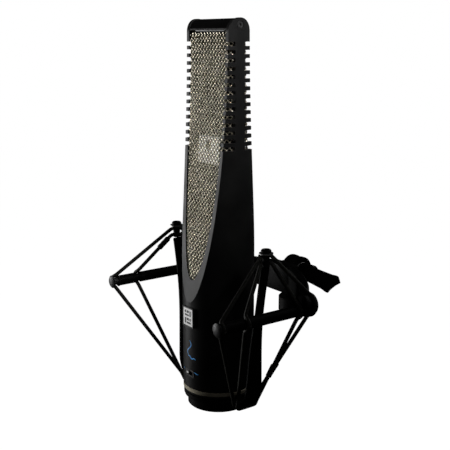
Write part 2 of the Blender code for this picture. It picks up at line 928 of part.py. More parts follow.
def rod_profile():
    """A rod with two band grooves, its height measured along +Y."""
    groove = ROD_RADIUS - GROOVE_DEPTH
    profile = [(0.0, ROD_BACK + 0.0080), (0.0030, ROD_BACK + 0.0080), (0.0030, ROD_BACK)]
    profile.append((ROD_RADIUS, ROD_BACK))
    for y in (INNER_BACK_Y, INNER_FRONT_Y):
        profile += [(ROD_RADIUS, y + GROOVE_HALF_WIDTH), (groove, y + GROOVE_HALF_WIDTH - 0.0005)]
        profile += [(groove, y - GROOVE_HALF_WIDTH + 0.0005), (ROD_RADIUS, y - GROOVE_HALF_WIDTH)]
    profile += [(ROD_RADIUS, ROD_FRONT), (0.0, ROD_FRONT)]
    return profile


def yoke_centre(share):
    """(X, Y, bottom, top) of the right yoke arm, from its boss to the block."""
    stations = (
        (0.0, 0.0730, 0.0300, BOSS_Z - 0.0062, BOSS_Z + 0.0062),
        (0.2, 0.0650, 0.0385, 0.0740, 0.0934),
        (0.4, 0.0540, 0.0470, 0.0726, 0.0940),
        (0.6, 0.0420, 0.0545, 0.0715, 0.0945),
        (0.8, 0.0300, 0.0610, 0.0706, BLOCK_TOP),
        (1.0, BLOCK_HALF_WIDTH - 0.0030, 0.0675, BLOCK_BOTTOM, BLOCK_TOP),
    )
    return smooth_steps(stations, share)


def boss_profile():
    """The round end of a yoke arm, with the groove of the outer band, its height along +Y."""
    low, high = OUTER_BACK_Y - 0.0020, OUTER_BACK_Y + 0.0020
    return [
        (0.0, BOSS_BACK),
        (BOSS_RADIUS - 0.0008, BOSS_BACK),
        (BOSS_RADIUS, BOSS_BACK - 0.0006),
        (BOSS_RADIUS, high),
        (BOSS_NECK_RADIUS, high - 0.0003),
        (BOSS_NECK_RADIUS, low + 0.0003),
        (BOSS_RADIUS - 0.0009, low),
        (BOSS_RADIUS, low - 0.0014),
        (BOSS_RADIUS, BOSS_FRONT + 0.0008),
        (BOSS_RADIUS - 0.0008, BOSS_FRONT),
        (0.0, BOSS_FRONT),
    ]


def make_frame():
    for name, sign in (("left", -1), ("right", 1)):
        x = sign * ROD_X
        turned(f"rod_{name}", "mount_black", "tilt_axis", (x, 0.0, ROD_Z), rod_profile(), TOWARDS_BACK, 24)
        front = [
            (0.0, ROD_FRONT - GAP),
            (0.0050, ROD_FRONT - GAP),
            (0.0040, OUTER_FRONT_Y + 0.0020),
            (0.0030, OUTER_FRONT_Y + 0.0018),
            (0.0030, OUTER_FRONT_Y - 0.0018),
            (0.0056, OUTER_FRONT_Y - 0.0020),
            (0.0056, OUTER_FRONT_Y - 0.0029),
            (0.0044, OUTER_FRONT_Y - 0.0038),
            (0.0, OUTER_FRONT_Y - 0.0042),
        ]
        turned(f"rod_cap_{name}", "bright_metal", "tilt_axis", (x, 0.0, ROD_Z), front, TOWARDS_BACK, 28)
        turned(
            f"rod_screw_{name}",
            "dark_metal",
            "tilt_axis",
            (x, 0.0, ROD_Z),
            [
                (0.0, BOSS_BACK + 0.0020),
                (0.0026, BOSS_BACK + 0.0018),
                (0.0040, BOSS_BACK + 0.0008),
                (0.0042, BOSS_BACK + GAP),
                (0.0, BOSS_BACK + GAP),
            ],
            TOWARDS_BACK,
            20,
        )

        steps = 10
        rows = [[], []]
        for step in range(steps + 1):
            across, along, bottom, top = yoke_centre(step / steps)
            rows[0].append((sign * across, along, bottom))
            rows[1].append((sign * across, along, top))
        mesh = grid_mesh(f"yoke_arm_{name}", rows)
        arm = add_piece(f"yoke_arm_{name}", mesh, "mount_black", "tilt_axis")
        solidify(arm, YOKE_THICKNESS)
        bevel(arm, 0.0016, 1)
        place = (x, 0.0, BOSS_Z)
        boss_name = f"yoke_boss_{name}"
        boss = turned(boss_name, "mount_black", "tilt_axis", place, boss_profile(), TOWARDS_BACK, 36)
        tenon_hole = cylinder(
            f"tenon_hole_{name}",
            "mount_black",
            "tilt_axis",
            (x, ROD_BACK, ROD_Z),
            0.0030 + GAP,
            0.0172,
            TOWARDS_BACK,
            24,
        )
        block_room = box(
            f"block_room_{name}",
            "mount_black",
            "tilt_axis",
            (-BLOCK_HALF_WIDTH - GAP, BLOCK_FRONT - 0.02, BLOCK_BOTTOM - 0.01),
            (BLOCK_HALF_WIDTH + GAP, STAND_Y, BLOCK_TOP + 0.01),
        )
        cut(join(arm, boss), tenon_hole, block_room)


def make_yoke_block():
    block = box(
        "yoke_block",
        "mount_black",
        "tilt_axis",
        (-BLOCK_HALF_WIDTH, BLOCK_FRONT, BLOCK_BOTTOM),
        (BLOCK_HALF_WIDTH, STAND_Y - KNUCKLE_RADIUS - GAP, BLOCK_TOP),
    )
    bevel(block, 0.0016, 2)
    for name, sign in (("left", -1), ("right", 1)):
        middle = sign * (KNUCKLE_HALF_WIDTH + GAP + FORK_THICKNESS / 2)
        low_x, high_x = middle - FORK_THICKNESS / 2, middle + FORK_THICKNESS / 2
        web = box(
            f"fork_web_{name}",
            "mount_black",
            "tilt_axis",
            (low_x, BLOCK_FRONT + 0.0040, TILT_Z - 0.0095),
            (high_x, STAND_Y, TILT_Z + 0.0075),
        )
        disc = cylinder(
            f"fork_disc_{name}",
            "mount_black",
            "tilt_axis",
            (middle, STAND_Y, TILT_Z),
            KNUCKLE_RADIUS,
            FORK_THICKNESS,
            ALONG_X,
            48,
        )
        join(block, web, disc)
    hole = cylinder(
        "fork_hole", "mount_black", "tilt_axis", (0.0, STAND_Y, TILT_Z), BOLT_RADIUS + GAP, 0.05, ALONG_X, 24
    )
    cut(block, hole)
    return block


def make_stand_adapter():
    """Threaded stand socket with the knuckle on top of it, cast in one."""
    neck_half = KNUCKLE_HALF_WIDTH
    knuckle = cylinder(
        "swivel_base",
        "mount_black",
        "stand_frame",
        (0.0, STAND_Y, TILT_Z),
        KNUCKLE_RADIUS - 0.0010,
        2 * neck_half,
        ALONG_X,
        48,
    )
    neck = box(
        "swivel_neck",
        "mount_black",
        "stand_frame",
        (-neck_half, STAND_Y - NECK_HALF_DEPTH, SOCKET_TOP_Z - 0.0010),
        (neck_half, STAND_Y + NECK_HALF_DEPTH, TILT_Z - 0.0050),
    )
    socket = turned(
        "swivel_socket",
        "mount_black",
        "stand_frame",
        (0.0, STAND_Y, 0.0),
        [
            (0.0, SOCKET_TOP_Z),
            (0.0110, SOCKET_TOP_Z),
            (SOCKET_RADIUS, SOCKET_TOP_Z - 0.0040),
            (SOCKET_RADIUS, SOCKET_MOUTH_Z + 0.0008),
            (SOCKET_RADIUS - 0.0008, SOCKET_MOUTH_Z),
            (THREAD_RADIUS, SOCKET_MOUTH_Z),
            (THREAD_RADIUS, SOCKET_MOUTH_Z + 0.0160),
            (0.0, SOCKET_MOUTH_Z + 0.0160),
        ],
        None,
        48,
    )
    join(knuckle, neck, socket)
    hole = cylinder(
        "knuckle_hole",
        "mount_black",
        "stand_frame",
        (0.0, STAND_Y, TILT_Z),
        BOLT_RADIUS + GAP,
        0.05,
        ALONG_X,
        24,
    )
    cut(knuckle, hole)
    turned(
        "thread_insert",
        "brass",
        "stand_frame",
        (0.0, STAND_Y, 0.0),
        ring_profile(
            INSERT_BORE_RADIUS, THREAD_RADIUS - GAP, SOCKET_MOUTH_Z + 0.0004, SOCKET_MOUTH_Z + 0.0140, 0.0004
        ),
        None,
        32,
    )


def make_clamp():
    """The bolt through the knuckle and the lever that tightens it."""
    fork_face = KNUCKLE_HALF_WIDTH + GAP + FORK_THICKNESS
    turned(
        "clamp_bolt",
        "dark_metal",
        "tilt_axis",
        (0.0, STAND_Y, TILT_Z),
        [
            (0.0, 0.0200),
            (BOLT_RADIUS, 0.0200),
            (BOLT_RADIUS, -fork_face - GAP),
            (0.0065, -fork_face - GAP),
            (0.0065, -fork_face - 0.0036),
            (0.0055, -fork_face - 0.0042),
            (0.0, -fork_face - 0.0042),
        ],
        ALONG_X,
        24,
    )
    turned(
        "clamp_washer",
        "bright_metal",
        "tilt_axis",
        (0.0, STAND_Y, TILT_Z),
        ring_profile(BOLT_RADIUS + GAP, 0.0070, fork_face + GAP, fork_face + 0.0014, 0.0002),
        ALONG_X,
        28,
    )
    hub_low = fork_face + 0.0017
    hub = turned(
        "clamp_lever",
        "mount_black",
        "tilt_axis",
        (0.0, STAND_Y, TILT_Z),
        [
            (0.0, 0.0240),
            (0.0056, 0.0240),
            (0.0070, 0.0215),
            (0.0070, hub_low + 0.0006),
            (0.0064, hub_low),
            (0.0, hub_low),
        ],
        ALONG_X,
        32,
    )
    tip = LEVER_TIP_X
    outline = [(0.0150, -0.0062), (0.0280, -0.0066), (0.0400, -0.0072), (tip - 0.0040, -0.0082)]
    outline += [(tip, -0.0078), (tip - 0.0012, -0.0030), (tip - 0.0012, 0.0030), (tip, 0.0078)]
    outline += [(tip - 0.0040, 0.0082), (0.0400, 0.0072), (0.0280, 0.0066), (0.0150, 0.0062)]
    paddle = flat_piece(
        "lever_paddle",
        "mount_black",
        "tilt_axis",
        outline,
        0.0070,
        (0.0, STAND_Y, TILT_Z),
        Matrix.Rotation(LEVER_DROOP, 3, "Y") @ Matrix.Rotation(LEVER_TILT, 3, "X"),
    )
    bevel(paddle, 0.0020, 2)
    place = (0.0, STAND_Y, TILT_Z)
    bore = cylinder("lever_bore", "mount_black", "tilt_axis", place, BOLT_RADIUS + GAP, 0.0420, ALONG_X, 24)
    cut(join(hub, paddle), bore)


# ---------------------------------------------------------------- elastic bands


def half_ring(centre, radius, towards, side, steps=6):
    """Points half way round an anchor, bulging to one side. Both directions are unit vectors."""
    points = []
    for step in range(steps + 1):
        angle = math.pi * (step / steps - 0.5)
        points.append(centre + radius * (math.sin(angle) * towards + math.cos(angle) * side))
    return points


def foot_corner(x, side, clear, steps=4):
    """Points round one lower edge of the arm's foot, from its side to its underside."""
    points = []
    for step in range(steps + 1):
        angle = 0.5 * math.pi * step / steps
        y = side * (FOOT_HALF_WIDTH + clear * math.cos(angle))
        z = FOOT_Z - ARM_THICKNESS / 2 - clear * math.sin(angle)
        points.append(Vector((x, y, z)))
    return points


def band_path(sign, front_y, back_y, back_z, back_radius, hook_z, foot_x, front_radius):
    """A loop: over the arm's hook, round the front of the rod, under the foot, round the back."""
    out = Vector((sign, 0.0, 0.0))
    up = Vector((0.0, 0.0, 1.0))
    forward = Vector((0.0, -1.0, 0.0))
    hook = Vector((sign * HOOK_X, 0.0, hook_z))
    front = Vector((sign * ROD_X, front_y, ROD_Z))
    back = Vector((sign * ROD_X, back_y, back_z))
    clear = BAND_RADIUS + GAP
    path = half_ring(hook, 0.0030 + clear, forward, -out)
    path += half_ring(front, front_radius + clear, -up, out)
    path += foot_corner(sign * foot_x, -1.0, clear)
    path += foot_corner(sign * foot_x, 1.0, clear)[::-1]
    path += half_ring(back, back_radius + clear, up, out)
    return path


def make_bands():
    groove = ROD_RADIUS - GROOVE_DEPTH
    cap_neck = 0.0030
    outer_hook, outer_foot = HOOK_Z + 0.0036, FOOT_X - 0.0016
    inner_hook, inner_foot = HOOK_Z - 0.0018, FOOT_X + 0.0026
    for name, sign in (("left", -1), ("right", 1)):
        outer = band_path(
            sign, OUTER_FRONT_Y, OUTER_BACK_Y, BOSS_Z, BOSS_NECK_RADIUS, outer_hook, outer_foot, cap_neck
        )
        inner = band_path(sign, INNER_FRONT_Y, INNER_BACK_Y, ROD_Z, groove, inner_hook, inner_foot, groove)
        tube(f"band_outer_{name}", "elastic", "tilt_axis", outer, BAND_RADIUS, closed=True)
        tube(f"band_inner_{name}", "elastic", "tilt_axis", inner, BAND_RADIUS, closed=True)


clear_scene()
PARTS = new_collection("ribbon_microphone")
CUTTERS = new_collection("cutters")
ORIGINS = {"stand_frame": STAND_FRAME, "tilt_axis": TILT_AXIS, "microphone_axis": MICROPHONE_AXIS}
EMPTIES = {name: new_empty(name, origin) for name, origin in ORIGINS.items()}

make_body_shell()
make_head_bar()
make_head_screws()
make_basket()
make_motor()
make_chassis()
make_base()
make_front_details()
make_cradle()
make_frame()
make_yoke_block()
make_stand_adapter()
make_clamp()
make_bands()
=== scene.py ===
"""Looks of the ribbon microphone in its shock mount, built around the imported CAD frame."""

import json
import math

import bmesh
import bpy
from mathutils import Matrix, Vector

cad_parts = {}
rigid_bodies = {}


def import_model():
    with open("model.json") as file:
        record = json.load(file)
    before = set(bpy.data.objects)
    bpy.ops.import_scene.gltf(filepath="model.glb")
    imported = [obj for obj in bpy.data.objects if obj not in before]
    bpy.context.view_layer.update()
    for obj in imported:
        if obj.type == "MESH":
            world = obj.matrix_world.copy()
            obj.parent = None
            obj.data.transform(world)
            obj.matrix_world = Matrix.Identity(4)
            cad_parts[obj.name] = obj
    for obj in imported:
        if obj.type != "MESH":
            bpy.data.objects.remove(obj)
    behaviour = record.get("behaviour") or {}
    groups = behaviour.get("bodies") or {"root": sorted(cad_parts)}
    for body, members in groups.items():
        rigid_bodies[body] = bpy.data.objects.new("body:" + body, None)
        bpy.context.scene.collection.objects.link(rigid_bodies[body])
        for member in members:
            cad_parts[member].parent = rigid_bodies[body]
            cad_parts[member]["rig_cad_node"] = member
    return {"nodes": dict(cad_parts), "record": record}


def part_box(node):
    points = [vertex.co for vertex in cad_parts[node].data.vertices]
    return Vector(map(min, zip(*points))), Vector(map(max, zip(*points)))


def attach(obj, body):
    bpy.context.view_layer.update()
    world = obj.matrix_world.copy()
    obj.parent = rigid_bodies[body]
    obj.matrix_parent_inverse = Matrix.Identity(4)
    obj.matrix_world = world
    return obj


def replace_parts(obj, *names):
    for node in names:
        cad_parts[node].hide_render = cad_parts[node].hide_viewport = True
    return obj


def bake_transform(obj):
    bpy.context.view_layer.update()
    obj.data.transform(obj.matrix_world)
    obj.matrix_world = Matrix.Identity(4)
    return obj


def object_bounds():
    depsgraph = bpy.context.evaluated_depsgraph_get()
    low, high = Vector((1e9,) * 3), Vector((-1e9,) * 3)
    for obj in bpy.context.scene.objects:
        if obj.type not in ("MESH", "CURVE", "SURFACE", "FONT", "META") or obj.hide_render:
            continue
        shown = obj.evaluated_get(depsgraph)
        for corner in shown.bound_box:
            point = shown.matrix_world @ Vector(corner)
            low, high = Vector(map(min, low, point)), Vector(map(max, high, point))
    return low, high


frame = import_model()
CAD_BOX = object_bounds()
NODES = frame["nodes"]


def middle(node):
    low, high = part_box(node)
    return (low + high) / 2


# ---------------------------------------------------------------- places and sizes, in metres

# The microphone's own axis crosses the middle of the champagne ring here. Places and heights below
# are counted from this point, and so are those of the camera and the lamps.
MIC = middle("base_ring")
BODY_RADIUS = (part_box("body_shell")[1].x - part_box("body_shell")[0].x) / 2

# The tube: the front and the back are cut away by a large arc, shallowest at the top.
BODY_WALL = 0.0031
BODY_BOTTOM = 0.0020
SCOOP_ARC_RADIUS = 1.33
SCOOP_ARC_Z = 0.3057
SCOOP_LEAST_DEPTH = 0.0101
SCOOP_START_Z = 0.0700
CHEEK_AXIS_Z = 0.2931
BODY_STEPS = 192

# Slots that cut the two cheeks into fins.
SLOT_COUNT = 14
SLOT_PITCH = 0.006156
SLOT_TOP_Z = 0.2837
SLOT_HEIGHT = 0.0032
SPINE_HALF_WIDTH = 0.0045
HEAD_SCREW_Z = 0.2978
HEAD_SCREW_BORE = 0.0031

BASKET_LOW, BASKET_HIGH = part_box("grille_basket")
BASKET_RADIUS = 0.0269
BASKET_RECESS = 0.0007
BASKET_SQUARENESS = 40
WEAVE_WIDTH = 0.0041
WEAVE_HEIGHT = 0.0043
WEAVE_COUNT = 34
WIRE_RADIUS = 0.00052
# The near-black sheet inside the weave that paints the shade there: its rows, sides and depth behind the
# weave.
SHADE_LINING_ROWS = 48
SHADE_LINING_SIDES = 120
SHADE_LINING_DEPTH = 0.0051
LID_SINK = 0.0012
# A plate behind the weave: its height range, half width, round opening, depth and thickness.
MOTOR_FACE_LOW_Z, MOTOR_FACE_HIGH_Z = 0.1895, 0.2115
MOTOR_FACE_HALF_WIDTH = 0.0142
MOTOR_FACE_HOLE_Z, MOTOR_FACE_HOLE_RADIUS = 0.2045, 0.0040
MOTOR_FACE_DEPTH = 0.0045
MOTOR_FACE_THICKNESS = 0.0003
WIRE_SIDES = 7

BAND_RADIUS = 0.0016
BAND_CLEAR = BAND_RADIUS + 0.0003
HOOK = middle("arm_hook_right") - MIC
ROD = middle("rod_right") - MIC
BOSS_Z = 0.0840
BOSS_NECK_RADIUS = 0.0068
CAP_NECK_RADIUS = 0.0030
GROOVE_RADIUS = 0.0034
HOOK_TOP_Z = 0.1205
INNER_FRONT_Y = -0.0320
INNER_BACK_Y = 0.0194
OUTER_FRONT_Y = -0.0548
OUTER_BACK_Y = 0.0304
# Where along its path a band carries a sleeve, by kind, half and side.
SLEEVES = {
    ("outer", "lower", "right"): 0.70,
    ("inner", "lower", "right"): 0.72,
    ("inner", "upper", "left"): 0.36,
}
FOOT_X = 0.0370
FOOT_Z = -0.0055
FOOT_HALF_WIDTH = 0.0076
ARM_THICKNESS = 0.0030


# ---------------------------------------------------------------- camera, floor and light


def make_camera():
    """The photograph's view: from the front right, a little above, long enough to fill the frame."""
    azimuth, pitch = math.radians(54.4), math.radians(12.41)
    yaw, roll = math.radians(0.48), math.radians(-0.07)
    up = Vector((0.0, 0.0, 1.0))
    ahead = Vector((-math.sin(azimuth), math.cos(azimuth), 0.0))
    right = Vector((math.cos(azimuth), math.sin(azimuth), 0.0))
    ahead, right = (
        ahead * math.cos(yaw) + right * math.sin(yaw),
        right * math.cos(yaw) - ahead * math.sin(yaw),
    )
    forward = ahead * math.cos(pitch) - up * math.sin(pitch)
    upward = up * math.cos(pitch) + ahead * math.sin(pitch)
    side = right * math.cos(roll) + upward * math.sin(roll)
    upward = upward * math.cos(roll) - right * math.sin(roll)
    data = bpy.data.cameras.new("camera")
    data.sensor_width = 36.0
    data.lens = 67.58
    data.clip_end = 50.0
    camera = bpy.data.objects.new("camera", data)
    place = MIC + Vector((0.5532, -0.3961, 0.2872))
    turn = Matrix((side, upward, -forward)).transposed().to_4x4()
    camera.matrix_world = Matrix.Translation(place) @ turn
    bpy.context.scene.collection.objects.link(camera)
    bpy.context.scene.camera = camera


def area_light(name, place, target, size, power, colour=(1.0, 1.0, 1.0)):
    data = bpy.data.lights.new(name, "AREA")
    data.shape = "RECTANGLE"
    data.size, data.size_y = size
    data.energy = power
    data.color = colour
    light = bpy.data.objects.new(name, data)
    bpy.context.scene.collection.objects.link(light)
    place = MIC + Vector(place)
    towards = MIC + Vector(target) - place
    light.matrix_world = Matrix.Translation(place) @ towards.to_track_quat("-Z", "Y").to_matrix().to_4x4()
    light.visible_camera = False
    return light


def spot_light(name, place, target, degrees, power):
    """A lamp with a cone so soft that it fades out evenly down the tube."""
    data = bpy.data.lights.new(name, "SPOT")
    data.energy = power
    data.shadow_soft_size = 0.12
    data.spot_size = math.radians(degrees)
    data.spot_blend = 1.0
    light = bpy.data.objects.new(name, data)
    bpy.context.scene.collection.objects.link(light)
    place = MIC + Vector(place)
    towards = MIC + Vector(target) - place
    light.matrix_world = Matrix.Translation(place) @ towards.to_track_quat("-Z", "Y").to_matrix().to_4x4()
    return light


def make_stage():
    world = bpy.data.worlds.new("studio")
    bpy.context.scene.world = world
    world.use_nodes = True
    background = world.node_tree.nodes["Background"]
    background.inputs["Color"].default_value = (1.0, 1.0, 1.0, 1.0)
    background.inputs["Strength"].default_value = 1.0
    world.cycles_visibility.diffuse = False
    world.cycles_visibility.glossy = False
    bpy.context.scene.view_settings.view_transform = "Standard"

    data = bmesh.new()
    bmesh.ops.create_circle(data, cap_ends=True, segments=96, radius=9.0)
    mesh = mesh_from(data, "floor")
    floor = bpy.data.objects.new("floor", mesh)
    floor.location = (0.0, 0.0, CAD_BOX[0][2] - 0.9)
    bpy.context.scene.collection.objects.link(floor)
    floor.visible_diffuse = False
    floor.visible_glossy = False
    pale = bpy.data.materials.new("pale_floor")
    pale.use_nodes = True
    shader = pale.node_tree.nodes["Principled BSDF"]
    shader.inputs["Base Color"].default_value = (0.9, 0.9, 0.9, 1.0)
    shader.inputs["Roughness"].default_value = 0.9
    shader.inputs["Emission Color"].default_value = (1.0, 1.0, 1.0, 1.0)
    shader.inputs["Emission Strength"].default_value = 1.0
    mesh.materials.append(pale)

    area_light("rim_key", (-1.05, -0.62, 0.12), (0.0, 0.0, 0.13), (0.45, 0.30), 5.6)
    area_light("tube_key", (-1.05, -0.62, -0.25), (0.0, 0.0, 0.03), (0.45, 0.30), 1.4)
    area_light("soft_fill", (1.3, -1.0, 0.9), (0.0, 0.0, 0.12), (1.4, 1.4), 0.9)
    area_light("back_fill", (0.1, 1.5, 0.9), (0.0, 0.0, 0.12), (1.2, 1.2), 3.0)
    spot_light("head_spot", (0.62, 0.06, 0.74), (0.03, 0.0, 0.35), 23.0, 42.0)


# ---------------------------------------------------------------- materials


class Graph:
    """A material's node tree with short calls for adding and linking nodes."""

    def __init__(self, name):
        self.material = bpy.data.materials.new(name)
        self.material.use_nodes = True
        self.tree = self.material.node_tree
        self.shader = self.tree.nodes["Principled BSDF"]
        self.place = self.add("ShaderNodeTexCoord").outputs["Object"]

    def add(self, kind, settings=None, **inputs):
        """A node. settings are its own properties, inputs its sockets' values or links."""
        node = self.tree.nodes.new(kind)
        for key, value in (settings or {}).items():
            setattr(node, key, value)
        for key, value in inputs.items():
            self.put(node.inputs[key.replace("_", " ")], value)
        return node

    def put(self, socket, value):
        if isinstance(value, bpy.types.NodeSocket):
            self.tree.links.new(value, socket)
        else:
            socket.default_value = value

    def math(self, operation, first, second=0.0, clamp=False):
        node = self.tree.nodes.new("ShaderNodeMath")
        node.operation = operation
        node.use_clamp = clamp
        self.put(node.inputs[0], first)
        self.put(node.inputs[1], second)
        return node.outputs[0]

    def stretched(self, scale):
        """Object coordinates, scaled by a factor on each axis."""
        node = self.add("ShaderNodeMapping", Vector=self.place)
        node.inputs["Scale"].default_value = scale
        return node.outputs["Vector"]

    def noise(self, scale, detail=3.0, place=None, roughness=0.55):
        node = self.add("ShaderNodeTexNoise", Vector=place or self.place)
        node.inputs["Scale"].default_value = scale
        node.inputs["Detail"].default_value = detail
        node.inputs["Roughness"].default_value = roughness
        return node.outputs["Fac"]

    def spread(self, value, low, high, start=0.0, end=1.0):
        """value, from low to high, laid out from start to end and held there."""
        node = self.add("ShaderNodeMapRange")
        self.put(node.inputs["Value"], value)
        node.inputs["From Min"].default_value = low
        node.inputs["From Max"].default_value = high
        node.inputs["To Min"].default_value = start
        node.inputs["To Max"].default_value = end
        return node.outputs["Result"]

    def mixed(self, share, first, second):
        """A colour between two colours, or links to colours."""
        node = self.tree.nodes.new("ShaderNodeMix")
        node.data_type = "RGBA"
        self.put(node.inputs["Factor"], share)
        self.put(node.inputs[6], first)
        self.put(node.inputs[7], second)
        return node.outputs[2]

    def edges(self, radius):
        """1 on edges, 0 on open faces: how far a rounded normal turns from the true one."""
        rounded = self.add("ShaderNodeBevel", {"samples": 6}, Radius=radius).outputs["Normal"]
        plain = self.add("ShaderNodeNewGeometry").outputs["Normal"]
        dot = self.tree.nodes.new("ShaderNodeVectorMath")
        dot.operation = "DOT_PRODUCT"
        self.put(dot.inputs[0], rounded)
        self.put(dot.inputs[1], plain)
        return self.spread(dot.outputs["Value"], 0.995, 0.90)

    def bump(self, height, distance, strength=1.0, normal=None):
        node = self.add("ShaderNodeBump", Height=height)
        node.inputs["Distance"].default_value = distance
        node.inputs["Strength"].default_value = strength
        if normal is not None:
            self.put(node.inputs["Normal"], normal)
        return node.outputs["Normal"]

    def finish(self, colour, roughness, normal, metallic=0.0, **others):
        self.put(self.shader.inputs["Base Color"], colour)
        self.put(self.shader.inputs["Roughness"], roughness)
        self.put(self.shader.inputs["Normal"], normal)
        self.shader.inputs["Metallic"].default_value = metallic
        for key, value in others.items():
            self.shader.inputs[key.replace("_", " ")].default_value = value
        return self.material


def grey(value, tint=(1.0, 1.0, 1.0)):
    return (value * tint[0], value * tint[1], value * tint[2], 1.0)


def painted(name, dark, light, worn, rough, grain, wear_share, specular):
    """Satin paint: two near-black tones in soft clouds, fine grain, edges rubbed lighter."""
    g = Graph(name)
    clouds = g.noise(38.0, 4.0)
    specks = g.noise(2600.0, 2.0)
    fine = g.noise(grain, 2.0)
    colour = g.mixed(g.spread(clouds, 0.35, 0.70), grey(dark), grey(light))
    patches = g.spread(g.noise(420.0, 3.0), 0.38, 0.66)
    rubbed = g.math("MULTIPLY", g.math("MULTIPLY", g.edges(0.0005), patches), wear_share)
    colour = g.mixed(rubbed, colour, grey(worn, (1.0, 0.98, 0.94)))
    satin = g.spread(clouds, 0.3, 0.7, rough - 0.04, rough + 0.05)
    satin = g.math("ADD", satin, g.spread(specks, 0.3, 0.7, -0.03, 0.03), clamp=True)
    return g.finish(colour, satin, g.bump(fine, 0.00002, 0.55), 0.0, Specular_IOR_Level=specular)


def turned_metal(name, first, second, rough, ring_pitch, metallic=1.0, axis="Z"):
    """Metal turned on a lathe about an upright axis: faint rings and slight tarnish."""
    g = Graph(name)
    rings = g.add("ShaderNodeTexWave", {"bands_direction": axis}, Vector=g.place)
    rings.inputs["Scale"].default_value = 1.0 / (ring_pitch * 6.2832)
    rings.inputs["Distortion"].default_value = 0.6
    rings.inputs["Detail"].default_value = 2.0
    clouds = g.noise(160.0, 4.0)
    colour = g.mixed(g.spread(clouds, 0.35, 0.65), first, second)
    shine = g.spread(g.noise(900.0, 3.0), 0.3, 0.7, rough - 0.05, rough + 0.07)
    height = g.math("ADD", g.math("MULTIPLY", rings.outputs["Fac"], 0.6), g.math("MULTIPLY", clouds, 0.4))
    return g.finish(colour, shine, g.bump(height, 0.00001, 0.5), metallic)


def brushed_metal(name, first, second, rough, stretch, metallic=1.0):
    """Metal with fine lines along its longest axis."""
    g = Graph(name)
    lines = g.noise(1.0, 3.0, g.stretched(stretch))
    clouds = g.noise(120.0, 3.0)
    colour = g.mixed(g.spread(clouds, 0.35, 0.65), first, second)
    shine = g.spread(lines, 0.3, 0.7, rough - 0.06, rough + 0.08)
    return g.finish(colour, shine, g.bump(lines, 0.00002, 0.4), metallic)


def rubber_like(name, base, highlight, rough, scale):
    """A dull mottled surface with dust in patches."""
    g = Graph(name)
    mottle = g.noise(scale, 4.0)
    dust = g.spread(g.noise(220.0, 4.0), 0.55, 0.8)
    colour = g.mixed(g.math("MULTIPLY", dust, 0.35), base, highlight)
    shine = g.spread(mottle, 0.3, 0.7, rough - 0.06, rough + 0.06)
    return g.finish(colour, shine, g.bump(mottle, 0.00004, 0.6), 0.0, Specular_IOR_Level=0.45)


def moulded(name, first, second, rough, glow=0.0):
    """Moulded plastic or ink. glow is the strength at which it shines by itself: painted light, as these
    parts are no lamps.
    """
    g = Graph(name)
    cloud = g.noise(260.0, 3.0)
    spark = g.noise(4200.0, 2.0)
    colour = g.mixed(g.spread(cloud, 0.3, 0.7), first, second)
    shine = g.spread(spark, 0.3, 0.7, rough - 0.05, rough + 0.06)
    g.put(g.shader.inputs["Emission Color"], colour)
    return g.finish(colour, shine, g.bump(spark, 0.00001, 0.5), 0.0, Emission_Strength=glow)


def wire_metal():
    """Lacquered warm silver wire: drawn lines, painted shade where a wire dips low in the weave and on its
    inner side, tarnish in patches.
    """
    g = Graph("wire")
    clouds = g.noise(55.0, 4.0)
    streaks = g.noise(1800.0, 3.0)
    warm = g.mixed(g.spread(clouds, 0.3, 0.7), (0.62, 0.57, 0.45, 1.0), (0.82, 0.76, 0.63, 1.0))
    # Painted shade: the lower a wire rides in the weave (the lift layer), the darker its colour, darkest on
    # its inward side.
    depth = g.add("ShaderNodeAttribute", {"attribute_name": "lift"}).outputs["Fac"]
    painted_shade = g.math("MULTIPLY", g.spread(depth, 0.34, 0.02), 0.96)
    colour = g.mixed(painted_shade, warm, (0.030, 0.024, 0.017, 1.0))
    shine = g.spread(streaks, 0.3, 0.7, 0.20, 0.34)
    return g.finish(colour, shine, g.bump(streaks, 0.00001, 0.5), 1.0)


def elastic_cord():
    """Braided elastic: two families of fine threads laid on the cord's own length and turn, the colour
    darker in the grooves between them as painted shade.
    """
    g = Graph("elastic")
    spot = g.add("ShaderNodeUVMap", {"uv_map": "cord"}).outputs["UV"]
    split = g.add("ShaderNodeSeparateXYZ", Vector=spot)
    along, around = split.outputs["X"], split.outputs["Y"]
    braid = []
    for sign in (1.0, -1.0):
        lay = g.math("ADD", g.math("MULTIPLY", along, 620.0), g.math("MULTIPLY", around, sign * 8.0))
        wave = g.math("SINE", g.math("MULTIPLY", lay, 2 * math.pi))
        braid.append(wave)
    height = g.math("MAXIMUM", braid[0], braid[1])
    fuzz = g.noise(3000.0, 2.0)
    height = g.math("ADD", g.math("MULTIPLY", height, 0.35), g.math("MULTIPLY", fuzz, 0.5))
    # Painted shade: the colour runs darker where the braid lies low.
    braid_shade = g.spread(height, -0.1, 0.7)
    dust = g.spread(g.noise(140.0, 3.0), 0.4, 0.75)
    colour = g.mixed(braid_shade, (0.005, 0.005, 0.004, 1.0), (0.018, 0.018, 0.014, 1.0))
    colour = g.mixed(g.math("MULTIPLY", dust, 0.3), colour, (0.040, 0.039, 0.030, 1.0))
    shine = g.spread(fuzz, 0.3, 0.7, 0.50, 0.68)
    return g.finish(colour, shine, g.bump(height, 0.00012, 0.7), 0.0, Specular_IOR_Level=0.25)


